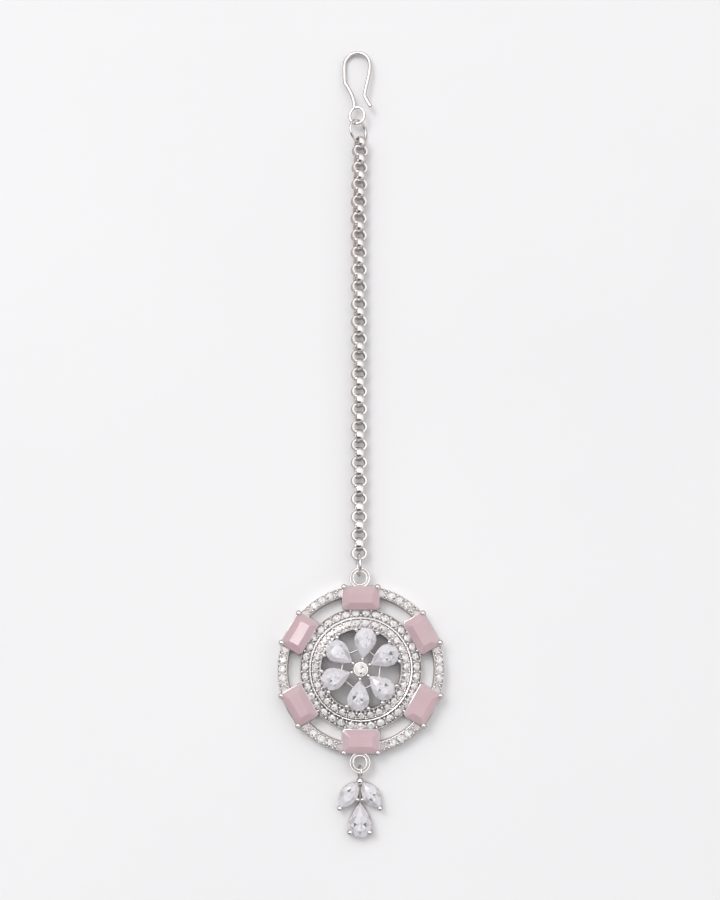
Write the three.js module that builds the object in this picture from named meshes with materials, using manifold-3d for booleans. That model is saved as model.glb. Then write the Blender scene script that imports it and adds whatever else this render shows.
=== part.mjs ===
// Maang tikka: a hair hook, a belcher chain and a round stone-set pendant with a drop.
// Millimetres. It lies face up on the plane z = 0, the hook towards +Y, the pendant's right side towards +X.

import * as THREE from 'three';
import { mergeVertices } from 'three/addons/utils/BufferGeometryUtils.js';
import Module from 'manifold-3d';

const wasm = await Module();
wasm.setup();
const { Manifold, Mesh: SolidMesh } = wasm;

// Clearances
const stoneClearance = 0.06; // between a stone and its seat
const linkClearance = 0.1; // between two rings that hang in each other

// Pendant: outer ring
const ringDiameter = 27.7;
const ringWidth = 1.65;
const ringHeight = 1.9;
const ringBevel = 0.15;
const ringFlats = 36;

// Pendant: box-set octagonal stones
const boxStones = 6;
const boxStoneLength = 6.1;
const boxStoneWidth = 3.9;
const boxStoneCorner = 0.38;
const boxStoneInset = 0.2; // from the ring's outside in to the stones' outer sides
const boxOpeningInset = 0.75; // opening of a box setting inside its stone's outline
const boxWall = 0.2;
const boxStoneRise = 0.55; // girdle above the ring's top
const boxBallDiameter = 0.97;
const boxPostDiameter = 0.7;
const boxBallSide = 0.26; // in from the stone's end, as a share of the ball
const boxBallUp = 0.15; // in from the stone's long side, as a share of the ball

// Pendant: domed disc
const discEdgeHeight = 1.6;
const discShell = 0.9;
const discUnderBox = 0.35; // how far the disc reaches under the box settings
const discBreak = 0.47; // where the dome steps up, as a share of its width from the outside
const discBreakRise = 0.8; // top of the outer row's slope above the disc's edge
const discStep = 0.15;
const bandOverlap = 0.12; // how far the disc's two bands lie in and over each other
const discRimRise = 1.5; // opening's rim above the disc's edge
const discRim = 0.2;

// Pendant: pavé stones
const paveDiameter = 1.15; // of the ring's stones
const paveCrown = 0.24;
const paveSides = 8;
const paveTable = 0.6; // table as a share of the stone's diameter
const paveSink = 0.06;
const ringPavePitch = 1.5;
const discPaveShare = 0.66; // a stone of the disc as a share of its band's sloping width
const discPaveGap = 0.45; // between two stones of the same band

// Pendant: flower of pear stones round a centre stone
const petalLength = 5.0;
const petalWidth = 3.6;
const centreStoneDiameter = 2.2;
const petalGap = 0.65; // from the centre stone's girdle to a petal's point
const petalOverRim = 0.15; // how far a petal reaches over the disc's opening
const petalRise = 0.55; // petal girdles above the disc's rim
const petalSettingHeight = 1.3;
const petalInset = 0.38; // opening of a setting inside its stone's outline
const flowerTurn = -7.5; // degrees
const petalBallDiameter = 0.75;
const innerBallDiameter = 0.65;
const petalBallInset = 0.13; // from the opening's edge in to the outer balls
const tiePlace = 0.27; // the tie bars' place along the petals
const tieStop = 0.4; // what a bar leaves free of the petals' width at its two ends together
const tieWire = 0.36;
const cupWall = 0.42;
const petals = [
  { name: 'petal_stone_1', lean: -1.3 },
  { name: 'petal_stone_2', lean: 4.8 },
  { name: 'petal_stone_3', lean: -3.3 },
  { name: 'petal_stone_4', lean: 2.5 },
  { name: 'petal_stone_5', lean: -3.5 },
  { name: 'petal_stone_6', lean: 1.0 },
];

// Pendant: bail above and loop below
const loopDiameter = 3.52;
const loopHole = 2.0;
const loopThickness = 0.8;
const loopHeight = 1.9; // its mid-plane above the surface
const loopSink = 0.75; // how far it reaches into the ring's box settings
const loopGroove = 0.22;
const loopShift = -0.15;

// Drop
const dropBailDiameter = 2.4;
const dropBailWire = 0.36;
const dropBailTilt = 14;
const topBallDiameter = 1.3;
const leafLength = 4.8;
const leafWidth = 2.75;
const leafSpread = 35; // degrees from straight down
const leafStart = 0.42; // from the top ball's centre to a leaf's upper point, sideways
const dropStoneLength = 5.65;
const dropStoneWidth = 3.85;
const dropGirdleHeight = 1.6;
const dropSettingHeight = 1.35;
const leafBallDiameter = 0.93;
const dropBallDiameter = 1.0;
const dropPointBallDiameter = 0.66;
const dropWall = 0.05; // setting's wall outside the drop stone's girdle
const lowBallSpread = 57; // degrees round the drop stone's round end, from its lowest point
const pointBallSide = 0.57; // place of the two balls at the drop stone's point, as shares of the ball
const pointBallUp = 0.6;
const topBallLap = 0.36; // how far the top ball sinks into the bail's wire, as shares of the ball
const dropLap = 0.74; // how far down the leaves the drop stone starts, as a share of their length
const spineWidth = 0.5;
const spineHeight = 0.6;

// Ball prongs of the settings
const finePostDiameter = 0.5;
const ballRise = 0.65; // a ball's top above its stone's girdle, as a share of the ball
const tipBallOut = 0.2; // a ball's centre beyond its stone's tip, as a share of the ball
const prongSides = 7;
const fineProngSides = 6;

// Cut of the stones: heights as shares of the width
const crownShare = 0.15;
const girdleShare = 0.035;
const pavilionShare = 0.3;
const culetShare = 0.2;
const tableShare = 0.58;
const stepTableShare = 0.7;
const pearShoulder = 0.35;
const pearEndPoints = 5;
const marquiseSteps = 5;
const roundSides = 10;

// Chain
const chainLength = 74.6;
const linkAcross = 2.75;
const linkAlong = 2.385;
const linkWall = 0.4;
const linkBand = 1.1;
const linkCrown = 0.55; // how far the band's edges stand back from its crowned inside, as a share of the wall
const linkBite = 0.03; // how far two links bear into each other
const linkSides = 10;
const twistAtPendant = 8; // degrees about the chain's line
const twistAtHook = 22;
const chainLiftAtPendant = 0.28;
const liftedLinks = 6; // links over which the chain comes down from the end link
const chainShift = -0.33;
const chainRoute = [
  { along: 0, across: 0 },
  { along: 0.55, across: -0.03 },
  { along: 0.82, across: -0.1 },
  { along: 1, across: 0.16 },
];

// Plain rings
const endLinkDiameter = 3.9;
const endLinkTilt = 98; // degrees, nearly on edge
const hookRingDiameter = 4.35;
const ringWire = 0.45;
const hookRingTilt = 47;
const hookRingShift = -0.3; // its centre from the chain's last link, sideways
const ringSides = 12;

// Hook
const hookWire = 0.66;
const hookReach = 12.13; // from the eye's centre to the bow's top
const bowRadius = 2.26;
const eyeWidth = 3.1;
const eyeLength = 3.6;
const eyeWire = 0.5;
const eyePlay = 0.16; // free space between the eye's wire and the hook ring's
const eyeShift = -0.2; // eye's centre from the hook ring's centre, sideways
const hookRoll = 9; // degrees about the hook's length, its right side up
const hookSides = 6;
const hookSteps = 26;
const bowSteps = 6;
const shankRoute = [
  { across: -0.22, up: 0.13 },
  { across: -0.27, up: 0.24 },
  { across: -0.47, up: 0.355 },
  { across: -0.76, up: 0.47 },
  { across: -0.97, up: 0.555 },
];
const freeLegRoute = [
  { across: 0.98, up: 0.69 },
  { across: 0.83, up: 0.54 },
  { across: 0.7, up: 0.43 },
  { across: 0.6, up: 0.325 },
  { across: 0.64, up: 0.285 },
  { across: 0.88, up: 0.19 },
  { across: 1.05, up: 0.14 },
];

// Materials
const silver = new THREE.MeshStandardMaterial({ color: 0xdcd7d6, roughness: 0.16, metalness: 1 });
const pinkGlass = new THREE.MeshStandardMaterial({ color: 0xd8b4bc, roughness: 0.12, metalness: 0 });
const clearGlass = new THREE.MeshStandardMaterial({ color: 0xe4e1ea, roughness: 0.05, metalness: 0 });

// Solids and geometries

function toSolid(geometry) {
  const bare = geometry.clone();
  bare.deleteAttribute('normal');
  bare.deleteAttribute('uv');
  const merged = mergeVertices(bare, 1e-5);
  const vertProperties = new Float32Array(merged.attributes.position.array);
  const triVerts = new Uint32Array(merged.index.array);
  return new Manifold(new SolidMesh({ numProp: 3, vertProperties, triVerts }));
}

function toGeometry(solid) {
  const { vertProperties, triVerts } = solid.getMesh();
  const geometry = new THREE.BufferGeometry();
  geometry.setAttribute('position', new THREE.BufferAttribute(new Float32Array(vertProperties), 3));
  geometry.setIndex(new THREE.BufferAttribute(new Uint32Array(triVerts), 1));
  return geometry;
}

function placed(geometry, x, y, z, turn = 0) {
  geometry.rotateZ(THREE.MathUtils.degToRad(turn));
  geometry.translate(x, y, z);
  return geometry;
}

function meshOf(name, geometry, material) {
  const flat = geometry.index ? geometry.toNonIndexed() : geometry;
  flat.computeVertexNormals();
  const mesh = new THREE.Mesh(flat, material.clone());
  mesh.name = name;
  return mesh;
}

function unite(solids) {
  return solids.reduce((whole, next) => whole.add(next));
}

// A closed geometry from quads and triangles of shared points
function fromFaces(points, faces) {
  const geometry = new THREE.BufferGeometry();
  const flat = points.flatMap((p) => [p.x, p.y, p.z]);
  geometry.setAttribute('position', new THREE.Float32BufferAttribute(flat, 3));
  geometry.setIndex(faces);
  return geometry;
}

// Outline scaled and stacked from the bottom up, closed flat at both ends
function loft(outline, levels) {
  const count = outline.length;
  const points = levels.flatMap((level) =>
    outline.map((p) => new THREE.Vector3(p.x * level.scale, p.y * level.scale, level.z)),
  );
  const faces = [];
  for (let level = 0; level < levels.length - 1; level += 1) {
    for (let i = 0; i < count; i += 1) {
      const a = level * count + i;
      const b = level * count + ((i + 1) % count);
      faces.push(a, b, b + count, a, b + count, a + count);
    }
  }
  const top = (levels.length - 1) * count;
  for (let i = 1; i < count - 1; i += 1) {
    faces.push(0, i + 1, i);
    faces.push(top, top + i, top + i + 1);
  }
  return fromFaces(points, faces);
}

// A closed loop of one section round an inner ellipse: each point's height out from it and place across it
function bandLoop(innerX, innerY, section, sides) {
  const points = [];
  for (let i = 0; i < sides; i += 1) {
    const angle = (i / sides) * Math.PI * 2;
    const base = new THREE.Vector2(innerX * Math.cos(angle), innerY * Math.sin(angle));
    const out = new THREE.Vector2(Math.cos(angle) / innerX, Math.sin(angle) / innerY).normalize();
    for (const p of section) {
      points.push(new THREE.Vector3(base.x + out.x * p.out, base.y + out.y * p.out, p.side));
    }
  }
  const faces = [];
  const count = section.length;
  for (let i = 0; i < sides; i += 1) {
    for (let j = 0; j < count; j += 1) {
      const a = i * count + j;
      const b = i * count + ((j + 1) % count);
      const c = ((i + 1) % sides) * count + ((j + 1) % count);
      const d = ((i + 1) % sides) * count + j;
      faces.push(a, c, d, a, b, c);
    }
  }
  return fromFaces(points, faces);
}

function turned(profile, sides) {
  const geometry = new THREE.LatheGeometry(
    profile.map(([radius, height]) => new THREE.Vector2(radius, height)),
    sides,
  );
  return geometry.rotateX(Math.PI / 2).rotateZ(Math.PI);
}

// Outlines of the stones, counter-clockwise, long side along Y except on the octagon

function octagon(length, width, corner) {
  const x = length / 2;
  const y = width / 2;
  return [
    [x, corner - y],
    [x, y - corner],
    [x - corner, y],
    [corner - x, y],
    [-x, y - corner],
    [-x, corner - y],
    [corner - x, -y],
    [x - corner, -y],
  ].map(([px, py]) => new THREE.Vector2(px, py));
}

function circle(diameter, sides) {
  return Array.from({ length: sides }, (_, i) => {
    const angle = ((i + 0.5) / sides) * Math.PI * 2;
    return new THREE.Vector2(Math.cos(angle), Math.sin(angle)).multiplyScalar(diameter / 2);
  });
}

// Pear with its point towards -Y: two bowed sides and a round end
function pear(length, width) {
  const half = width / 2;
  const belly = length / 2 - half;
  const point = new THREE.Vector2(0, -length / 2);
  const shoulder = belly - (length - half) * pearShoulder;
  const sides = [1, -1].map((side) => {
    const control = new THREE.Vector2(side * half, shoulder);
    return new THREE.QuadraticBezierCurve(point, control, new THREE.Vector2(side * half, belly));
  });
  const end = Array.from({ length: pearEndPoints }, (_, i) => {
    const angle = (Math.PI * i) / (pearEndPoints - 1);
    return new THREE.Vector2(half * Math.cos(angle), belly + half * Math.sin(angle));
  });
  return [point, sides[0].getPoint(0.5), ...end, sides[1].getPoint(0.5)];
}

// Two arcs that meet in a point at each end
function marquise(length, width) {
  const radius = (length * length + width * width) / (4 * width);
  const half = Math.asin(length / 2 / radius);
  return [0, Math.PI].flatMap((start) =>
    Array.from({ length: marquiseSteps }, (_, i) => {
      const angle = half * ((2 * i) / marquiseSteps - 1);
      const x = radius * Math.cos(angle) - radius + width / 2;
      const side = Math.cos(start);
      return new THREE.Vector2(side * x, side * radius * Math.sin(angle));
    }),
  );
}

// A cut stone, its girdle's middle at z = 0; grow gives the cutter of its seat
function cutStone(outlineOf, width, table, grow = 0) {
  const outline = outlineOf(grow);
  const girdle = (width * girdleShare) / 2 + grow;
  const crown = girdle + width * crownShare;
  const pavilion = girdle + width * pavilionShare;
  return loft(outline, [
    { scale: culetShare, z: -pavilion },
    { scale: 1, z: -girdle },
    { scale: 1, z: girdle },
    { scale: table, z: crown },
  ]);
}

// Setting under a stone: a tube of the stone's outline, grown by its wall, open at the back
function settingTube(outlineOf, wall, inset, height) {
  const outer = toSolid(loft(outlineOf(wall), [{ scale: 1, z: -height }, { scale: 1, z: 0 }]));
  const opening = loft(outlineOf(-inset), [{ scale: 1, z: -height - 1 }, { scale: 1, z: 1 }]);
  return outer.subtract(toSolid(opening));
}

// A post with a ball on its end, from the plane z = 0 up
function ballProng(ball, post, height, sides = fineProngSides) {
  const centre = height - ball / 2;
  const neck = centre - Math.sqrt(ball * ball - post * post) / 2;
  const shoulder = Math.PI / 4;
  const profile = [
    [0, 0],
    [post / 2, 0],
    [post / 2, neck],
    [ball / 2, centre],
    [(ball / 2) * Math.cos(shoulder), centre + (ball / 2) * Math.sin(shoulder)],
    [0, height],
  ];
  return turned(profile, sides);
}

// How far from a ring's centre the face of a bar of this half width can lie inside it
function reachInside(innerRadius, halfBar, offCentre = 0) {
  return Math.sqrt(innerRadius ** 2 - (halfBar + Math.abs(offCentre)) ** 2);
}

// A ring's inner radius at the middle of its flats
function flatInner(diameter, wire) {
  return (diameter / 2 - wire) * Math.cos(Math.PI / ringSides);
}

function polar(radius, degrees) {
  const angle = THREE.MathUtils.degToRad(degrees);
  return { x: -radius * Math.sin(angle), y: radius * Math.cos(angle) };
}

// Places that follow from the sizes

const ringRadius = ringDiameter / 2;
const boxCentreRadius = ringRadius - boxStoneInset - boxStoneWidth / 2;
const boxGirdle = ringHeight + boxStoneRise;
const discRadius = ringRadius - boxStoneInset - boxStoneWidth + discUnderBox;
const petalInner = centreStoneDiameter / 2 + petalGap;
const petalOuter = petalInner + petalLength;
const openingRadius = petalOuter - petalOverRim;
const discWidth = discRadius - openingRadius;
const breakRadius = discRadius - discWidth * discBreak;
const breakHeight = discEdgeHeight + discBreakRise;
const rimHeight = discEdgeHeight + discRimRise;
const flowerGirdle = rimHeight + petalRise;
const loopRadius = loopDiameter / 2;

// The pavé stones of a sloping row: how wide each is and how many go round
function paveRow(outer, inner, rise) {
  const diameter = Math.hypot(outer - inner, rise) * discPaveShare;
  const count = Math.floor((Math.PI * (outer + inner)) / (diameter + discPaveGap));
  return { diameter, count };
}

const lowerRow = paveRow(discRadius, breakRadius, discBreakRise);
const upperRise = rimHeight - breakHeight - discStep;
const upperRow = paveRow(breakRadius - bandOverlap, openingRadius + discRim, upperRise);
const loopCentre = ringRadius + boxWall + loopRadius - loopSink;

// Stones of the pendant

const boxStone = (grow) => octagon(boxStoneLength + 2 * grow, boxStoneWidth + 2 * grow, boxStoneCorner);
const petalStone = (grow) => pear(petalLength + 2 * grow, petalWidth + 2 * grow);
const centreStone = (grow) => circle(centreStoneDiameter + 2 * grow, roundSides);

const boxPlaces = Array.from({ length: boxStones }, (_, i) => {
  const turn = (-360 / boxStones) * i;
  return { name: `pink_stone_${i + 1}`, turn, ...polar(boxCentreRadius, turn) };
});

const petalPlaces = petals.map(({ name, lean }, i) => {
  const turn = flowerTurn + lean - (360 / petals.length) * i;
  return { name, turn, ...polar((petalInner + petalOuter) / 2, turn) };
});

// Pendant frame

function outerRing() {
  const inner = ringRadius - ringWidth;
  const shoulder = ringHeight - ringBevel;
  const profile = [
    [ringRadius, 0],
    [ringRadius, shoulder],
    [ringRadius - ringBevel, ringHeight],
    [inner, ringHeight],
    [inner, 0],
    [ringRadius, 0],
  ];
  return toSolid(turned(profile, ringFlats));
}

// A turned band of flats. On the slope that starts at one point of its profile, each carries a pavé stone
function pavedBand(profile, slopeStart, { diameter, count }) {
  const rows = profile.length;
  const points = [];
  const faces = [];
  for (let i = 0; i < count; i += 1) {
    for (const [radius, height] of profile) {
      const at = polar(radius, (360 / count) * i);
      points.push(new THREE.Vector3(at.x, at.y, height));
    }
  }
  for (let i = 0; i < count; i += 1) {
    const next = (i + 1) % count;
    for (let j = 0; j < rows; j += 1) {
      const above = (j + 1) % rows;
      const corners = [i * rows + j, next * rows + j, next * rows + above, i * rows + above];
      if (j === slopeStart) {
        paveFlat(points, faces, corners, diameter);
      } else {
        faces.push(corners[0], corners[1], corners[2], corners[0], corners[2], corners[3]);
      }
    }
  }
  return toSolid(fromFaces(points, faces));
}

// One flat with its stone: the corners run counter-clockwise, and the stone stands in the middle
function paveFlat(points, faces, corners, diameter) {
  const [a, b, c, d] = corners.map((index) => points[index]);
  const low = a.clone().lerp(b, 0.5);
  const high = d.clone().lerp(c, 0.5);
  const middle = low.clone().lerp(high, 0.5);
  const along = b.clone().sub(a).normalize();
  const up = high.clone().sub(low).normalize();
  const out = along.clone().cross(up);
  const onFlat = (p) => {
    const reach = p.clone().sub(middle);
    return new THREE.Vector2(reach.dot(along), reach.dot(up));
  };
  const inSpace = (p, scale, height) => {
    const onSlope = middle.clone().addScaledVector(along, p.x * scale).addScaledVector(up, p.y * scale);
    return onSlope.addScaledVector(out, height);
  };
  const edge = [a, b, c, d].map(onFlat);
  const outline = circle(diameter, paveSides);
  const base = points.length;
  points.push(...outline.map((p) => inSpace(p, 1, 0)));
  points.push(...outline.map((p) => inSpace(p, paveTable, paveCrown)));
  const flatPoints = [...edge, ...outline];
  const indices = [...corners, ...outline.map((_, i) => base + i)];
  for (const [i, j, k] of THREE.ShapeUtils.triangulateShape(edge, [outline])) {
    const first = flatPoints[j].clone().sub(flatPoints[i]);
    const second = flatPoints[k].clone().sub(flatPoints[i]);
    const ahead = first.cross(second) > 0;
    faces.push(indices[i], indices[ahead ? j : k], indices[ahead ? k : j]);
  }
  const top = base + paveSides;
  for (let i = 0; i < paveSides; i += 1) {
    const n = (i + 1) % paveSides;
    faces.push(base + i, base + n, top + n, base + i, top + n, top + i);
    if (i > 0 && n > 0) {
      faces.push(top, top + i, top + n);
    }
  }
}

// The disc's lower band, with as many flats as its row has stones
function lowerBand() {
  const inner = openingRadius + bandOverlap;
  const profile = [
    [discRadius - discShell, 0],
    [discRadius, 0],
    [discRadius, discEdgeHeight],
    [breakRadius, breakHeight],
    [inner, breakHeight],
  ];
  return pavedBand(profile, 2, lowerRow);
}

// The disc's upper band, which stands on the lower one
function upperBand() {
  const foot = (breakRadius - bandOverlap) * Math.cos(Math.PI / lowerRow.count);
  const profile = [
    [openingRadius, breakHeight - bandOverlap],
    [foot, breakHeight - bandOverlap],
    [foot, breakHeight + discStep],
    [openingRadius + discRim, rimHeight],
    [openingRadius, rimHeight],
  ];
  return pavedBand(profile, 2, upperRow);
}

// A pavé stone standing on the outer ring's flat top
function paveStone(radius, height, degrees) {
  const spread = 1 + ((1 - paveTable) * paveSink) / paveCrown;
  const stone = loft(circle(paveDiameter, paveSides), [
    { scale: spread, z: -paveSink },
    { scale: paveTable, z: paveCrown },
  ]);
  const at = polar(radius, degrees);
  return toSolid(placed(stone, at.x, at.y, height, degrees));
}

function ringPave() {
  const radius = ringRadius - ringWidth / 2;
  const boxHalf = Math.asin((boxStoneLength / 2 + boxWall + paveDiameter / 2) / radius);
  const arc = 360 / boxStones - 2 * THREE.MathUtils.radToDeg(boxHalf);
  const pitch = THREE.MathUtils.radToDeg(ringPavePitch / radius);
  const count = Math.floor(arc / pitch);
  const stones = [];
  for (let gap = 0; gap < boxStones; gap += 1) {
    const middle = (360 / boxStones) * (gap + 0.5);
    for (let i = 0; i < count; i += 1) {
      stones.push(paveStone(radius, ringHeight, middle + (i - (count - 1) / 2) * pitch));
    }
  }
  return stones;
}

function boxSetting({ x, y, turn }) {
  const wall = settingTube(boxStone, boxWall, boxOpeningInset, boxGirdle);
  const ballX = boxStoneLength / 2 - boxBallDiameter * boxBallSide;
  const ballY = boxStoneWidth / 2 - boxBallDiameter * boxBallUp;
  const height = boxGirdle + boxBallDiameter * ballRise;
  const prongs = [-ballX, ballX].map((px) => {
    const prong = ballProng(boxBallDiameter, boxPostDiameter, height, prongSides);
    return toSolid(placed(prong, px, ballY, -boxGirdle));
  });
  return unite([wall, ...prongs]).rotate([0, 0, turn]).translate([x, y, boxGirdle]);
}

function petalSetting({ x, y, turn }) {
  const wall = settingTube(petalStone, 0, petalInset, petalSettingHeight);
  const ballX = petalWidth / 2;
  const ballY = reachInside(openingRadius - petalBallInset, ballX) - (petalInner + petalOuter) / 2;
  const height = petalSettingHeight + petalBallDiameter * ballRise;
  const outer = [-ballX, ballX].map((px) => {
    const prong = ballProng(petalBallDiameter, finePostDiameter, height);
    return toSolid(placed(prong, px, ballY, -petalSettingHeight));
  });
  const inner = placed(
    ballProng(innerBallDiameter, finePostDiameter, petalSettingHeight + innerBallDiameter * ballRise),
    0,
    -petalLength / 2 - innerBallDiameter * tipBallOut,
    -petalSettingHeight,
  );
  return unite([wall, ...outer, toSolid(inner)]).rotate([0, 0, turn]).translate([x, y, flowerGirdle]);
}

function centreCup() {
  const cup = settingTube(centreStone, cupWall, petalInset, petalSettingHeight);
  return cup.translate([0, 0, flowerGirdle]);
}

// Short bars, each between two neighbouring petal settings
function tieBars() {
  const radius = petalInner + petalLength * tiePlace;
  const height = flowerGirdle - petalSettingHeight + tieWire / 2;
  return petalPlaces.map(({ turn }, i) => {
    const next = i + 1 < petalPlaces.length ? petalPlaces[i + 1].turn : petalPlaces[0].turn - 360;
    const chord = 2 * radius * Math.sin(THREE.MathUtils.degToRad(turn - next) / 2);
    const bar = new THREE.BoxGeometry(chord - petalWidth * tieStop, tieWire, tieWire);
    const at = polar(radius, (turn + next) / 2);
    return toSolid(placed(bar, at.x, at.y, height, (turn + next) / 2));
  });
}

// A flat round loop with two raised rims
function rimmedLoop(centreY) {
  const hole = loopHole / 2;
  const rim = (loopRadius - hole) / 3;
  const half = loopThickness / 2;
  const profile = [
    [hole, -half],
    [loopRadius, -half],
    [loopRadius, half - loopGroove],
    [loopRadius - rim, half],
    [(loopRadius + hole) / 2, half - loopGroove],
    [hole + rim, half],
    [hole, half - loopGroove],
    [hole, -half],
  ];
  return toSolid(placed(turned(profile, ringSides), loopShift, centreY, loopHeight));
}

function seatCutter(outlineOf, width, table, { x, y, turn }, z) {
  const cutter = toSolid(cutStone(outlineOf, width, table, stoneClearance));
  return cutter.rotate([0, 0, turn]).translate([x, y, z]);
}

function pendantFrame() {
  const metal = [
    outerRing(),
    lowerBand(),
    upperBand(),
    ...boxPlaces.map(boxSetting),
    ...petalPlaces.map(petalSetting),
    centreCup(),
    ...tieBars(),
    rimmedLoop(loopCentre),
    rimmedLoop(-loopCentre),
  ];
  const seats = [
    ...boxPlaces.map((at) => seatCutter(boxStone, boxStoneWidth, stepTableShare, at, boxGirdle)),
    ...petalPlaces.map((at) => seatCutter(petalStone, petalWidth, tableShare, at, flowerGirdle)),
    seatCutter(centreStone, centreStoneDiameter, tableShare, { x: 0, y: 0, turn: 0 }, flowerGirdle),
  ];
  return unite([unite(metal).subtract(unite(seats)), ...ringPave()]);
}

// Drop

const loopReach = (offCentre, wire) => reachInside(flatInner(loopHole, 0), wire / 2, offCentre);
const dropBailCentre =
  -loopCentre -
  loopReach(0, dropBailWire) -
  reachInside(flatInner(dropBailDiameter, dropBailWire), loopThickness / 2) +
  linkClearance;
const topBallCentre = dropBailCentre - dropBailDiameter / 2 + dropBailWire / 2 - topBallDiameter * topBallLap;
const leafTurn = THREE.MathUtils.degToRad(leafSpread);
const leafPlaces = [-1, 1].map((side) => ({
  side,
  name: side < 0 ? 'leaf_stone_left' : 'leaf_stone_right',
  turn: side * leafSpread,
  x: side * (leafStart + (leafLength / 2) * Math.sin(leafTurn)),
  y: topBallCentre - leafStart / 2 - (leafLength / 2) * Math.cos(leafTurn),
}));
const dropStoneTop = topBallCentre - leafLength * dropLap * Math.cos(leafTurn) - leafStart;
const dropPlace = { x: 0, y: dropStoneTop - dropStoneLength / 2, turn: 180 };
const leafStone = (grow) => marquise(leafLength + 2 * grow, leafWidth + 2 * grow);
const dropStone = (grow) => pear(dropStoneLength + 2 * grow, dropStoneWidth + 2 * grow);

function leafSetting({ x, y, turn, side }) {
  const wall = settingTube(leafStone, 0, petalInset, dropSettingHeight);
  const ball = ballProng(leafBallDiameter, finePostDiameter, dropSettingHeight + leafBallDiameter * ballRise);
  const tip = toSolid(placed(ball, 0, -leafLength / 2 - leafBallDiameter * tipBallOut, -dropSettingHeight));
  return unite([wall, tip]).rotate([0, 0, turn]).translate([x, y, dropGirdleHeight]);
}

function dropPearSetting({ x, y, turn }) {
  const wall = settingTube(dropStone, dropWall, petalInset, dropSettingHeight);
  const radius = dropStoneWidth / 2;
  const spread = THREE.MathUtils.degToRad(lowBallSpread);
  const ballX = radius * Math.sin(spread);
  const ballY = dropStoneLength / 2 - radius + radius * Math.cos(spread);
  const lowHeight = dropSettingHeight + dropBallDiameter * ballRise;
  const lower = [-ballX, ballX].map((px) => {
    const prong = ballProng(dropBallDiameter, boxPostDiameter, lowHeight, prongSides);
    return placed(prong, px, ballY, -dropSettingHeight);
  });
  const pointHeight = dropSettingHeight + dropPointBallDiameter * ballRise;
  const pointX = dropPointBallDiameter * pointBallSide;
  const upper = [-pointX, pointX].map((px) =>
    placed(
      ballProng(dropPointBallDiameter, finePostDiameter, pointHeight),
      px,
      -dropStoneLength / 2 - dropPointBallDiameter * pointBallUp,
      -dropSettingHeight,
    ),
  );
  const pieces = [...lower, ...upper].map(toSolid);
  return unite([wall, ...pieces]).rotate([0, 0, turn]).translate([x, y, dropGirdleHeight]);
}

// The bar behind the leaves that carries the drop stone's setting
function dropSpine() {
  const low = dropGirdleHeight - dropSettingHeight;
  const end = dropStoneTop - petalInset;
  const bar = new THREE.BoxGeometry(spineWidth, topBallCentre - end, spineHeight);
  return toSolid(bar.translate(0, (topBallCentre + end) / 2, low + spineHeight / 2));
}

function dropSetting() {
  const bail = new THREE.TorusGeometry((dropBailDiameter - dropBailWire) / 2, dropBailWire / 2, 6, ringSides);
  bail.rotateY(Math.PI / 2 + THREE.MathUtils.degToRad(dropBailTilt));
  bail.translate(0, dropBailCentre, loopHeight);
  const ball = new THREE.SphereGeometry(topBallDiameter / 2, 10, 6);
  ball.rotateX(Math.PI / 2);
  ball.translate(0, topBallCentre, dropGirdleHeight);
  const settings = [...leafPlaces.map(leafSetting), dropPearSetting(dropPlace)];
  const metal = [toSolid(ball), toSolid(bail), dropSpine(), ...settings];
  const seats = [
    ...leafPlaces.map((at) => seatCutter(leafStone, leafWidth, tableShare, at, dropGirdleHeight)),
    seatCutter(dropStone, dropStoneWidth, tableShare, dropPlace, dropGirdleHeight),
  ];
  return unite(metal).subtract(unite(seats));
}

// Chain

const linkInnerX = linkAcross / 2 - linkWall;
const linkInnerY = linkAlong / 2 - linkWall;
const linkPitch = 2 * linkInnerY * Math.cos(Math.PI / linkSides) + linkBite;
const linkPairs = Math.round((chainLength - linkAlong + linkPitch) / (2 * linkPitch));
const chainSpan = (2 * linkPairs - 1) * linkPitch;
const endLinkInner = flatInner(endLinkDiameter, ringWire);
const endLinkHeight = endLinkDiameter / 2;
const chainTwistHeight = (twist) => {
  const angle = THREE.MathUtils.degToRad(twist);
  return (linkAcross / 2) * Math.cos(angle) + (linkBand / 2) * Math.sin(angle);
};
const chainEndHeight = chainTwistHeight(twistAtPendant) + chainLiftAtPendant;
const endLinkCentre =
  loopCentre +
  loopReach(chainShift - loopShift, ringWire) +
  reachInside(endLinkInner, loopThickness / 2, endLinkHeight - loopHeight) -
  linkClearance;
const chainStart =
  endLinkCentre +
  reachInside(endLinkInner, linkBand / 2, endLinkHeight - chainEndHeight) -
  linkClearance +
  linkInnerY;

function chainLink() {
  const half = linkBand / 2;
  const section = [
    { out: 0, side: 0 },
    { out: linkWall * linkCrown, side: half },
    { out: linkWall, side: half * 0.5 },
    { out: linkWall, side: -half * 0.5 },
    { out: linkWall * linkCrown, side: -half },
  ];
  return toSolid(bandLoop(linkInnerX, linkInnerY, section, linkSides));
}

function chainPoint(share) {
  const places = chainRoute.map(({ along, across }) => new THREE.Vector2(along, across));
  const next = Math.max(1, places.findIndex((p) => p.x >= share));
  const [a, b] = [places[next - 1], places[next]];
  return THREE.MathUtils.mapLinear(share, a.x, b.x, a.y, b.y);
}

function chain() {
  const link = chainLink();
  const links = [];
  const count = 2 * linkPairs;
  for (let i = 0; i < count; i += 1) {
    const share = i / (count - 1);
    const twist = THREE.MathUtils.lerp(twistAtPendant, twistAtHook, share);
    const lift = chainLiftAtPendant * Math.max(0, 1 - i / liftedLinks) ** 2;
    const turn = twist + (i % 2) * 90;
    const x = chainShift + chainPoint(share);
    const z = chainTwistHeight(twist) + lift;
    links.push(link.rotate([0, turn, 0]).translate([x, chainStart + i * linkPitch, z]));
  }
  return unite(links);
}

// Plain rings

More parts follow.
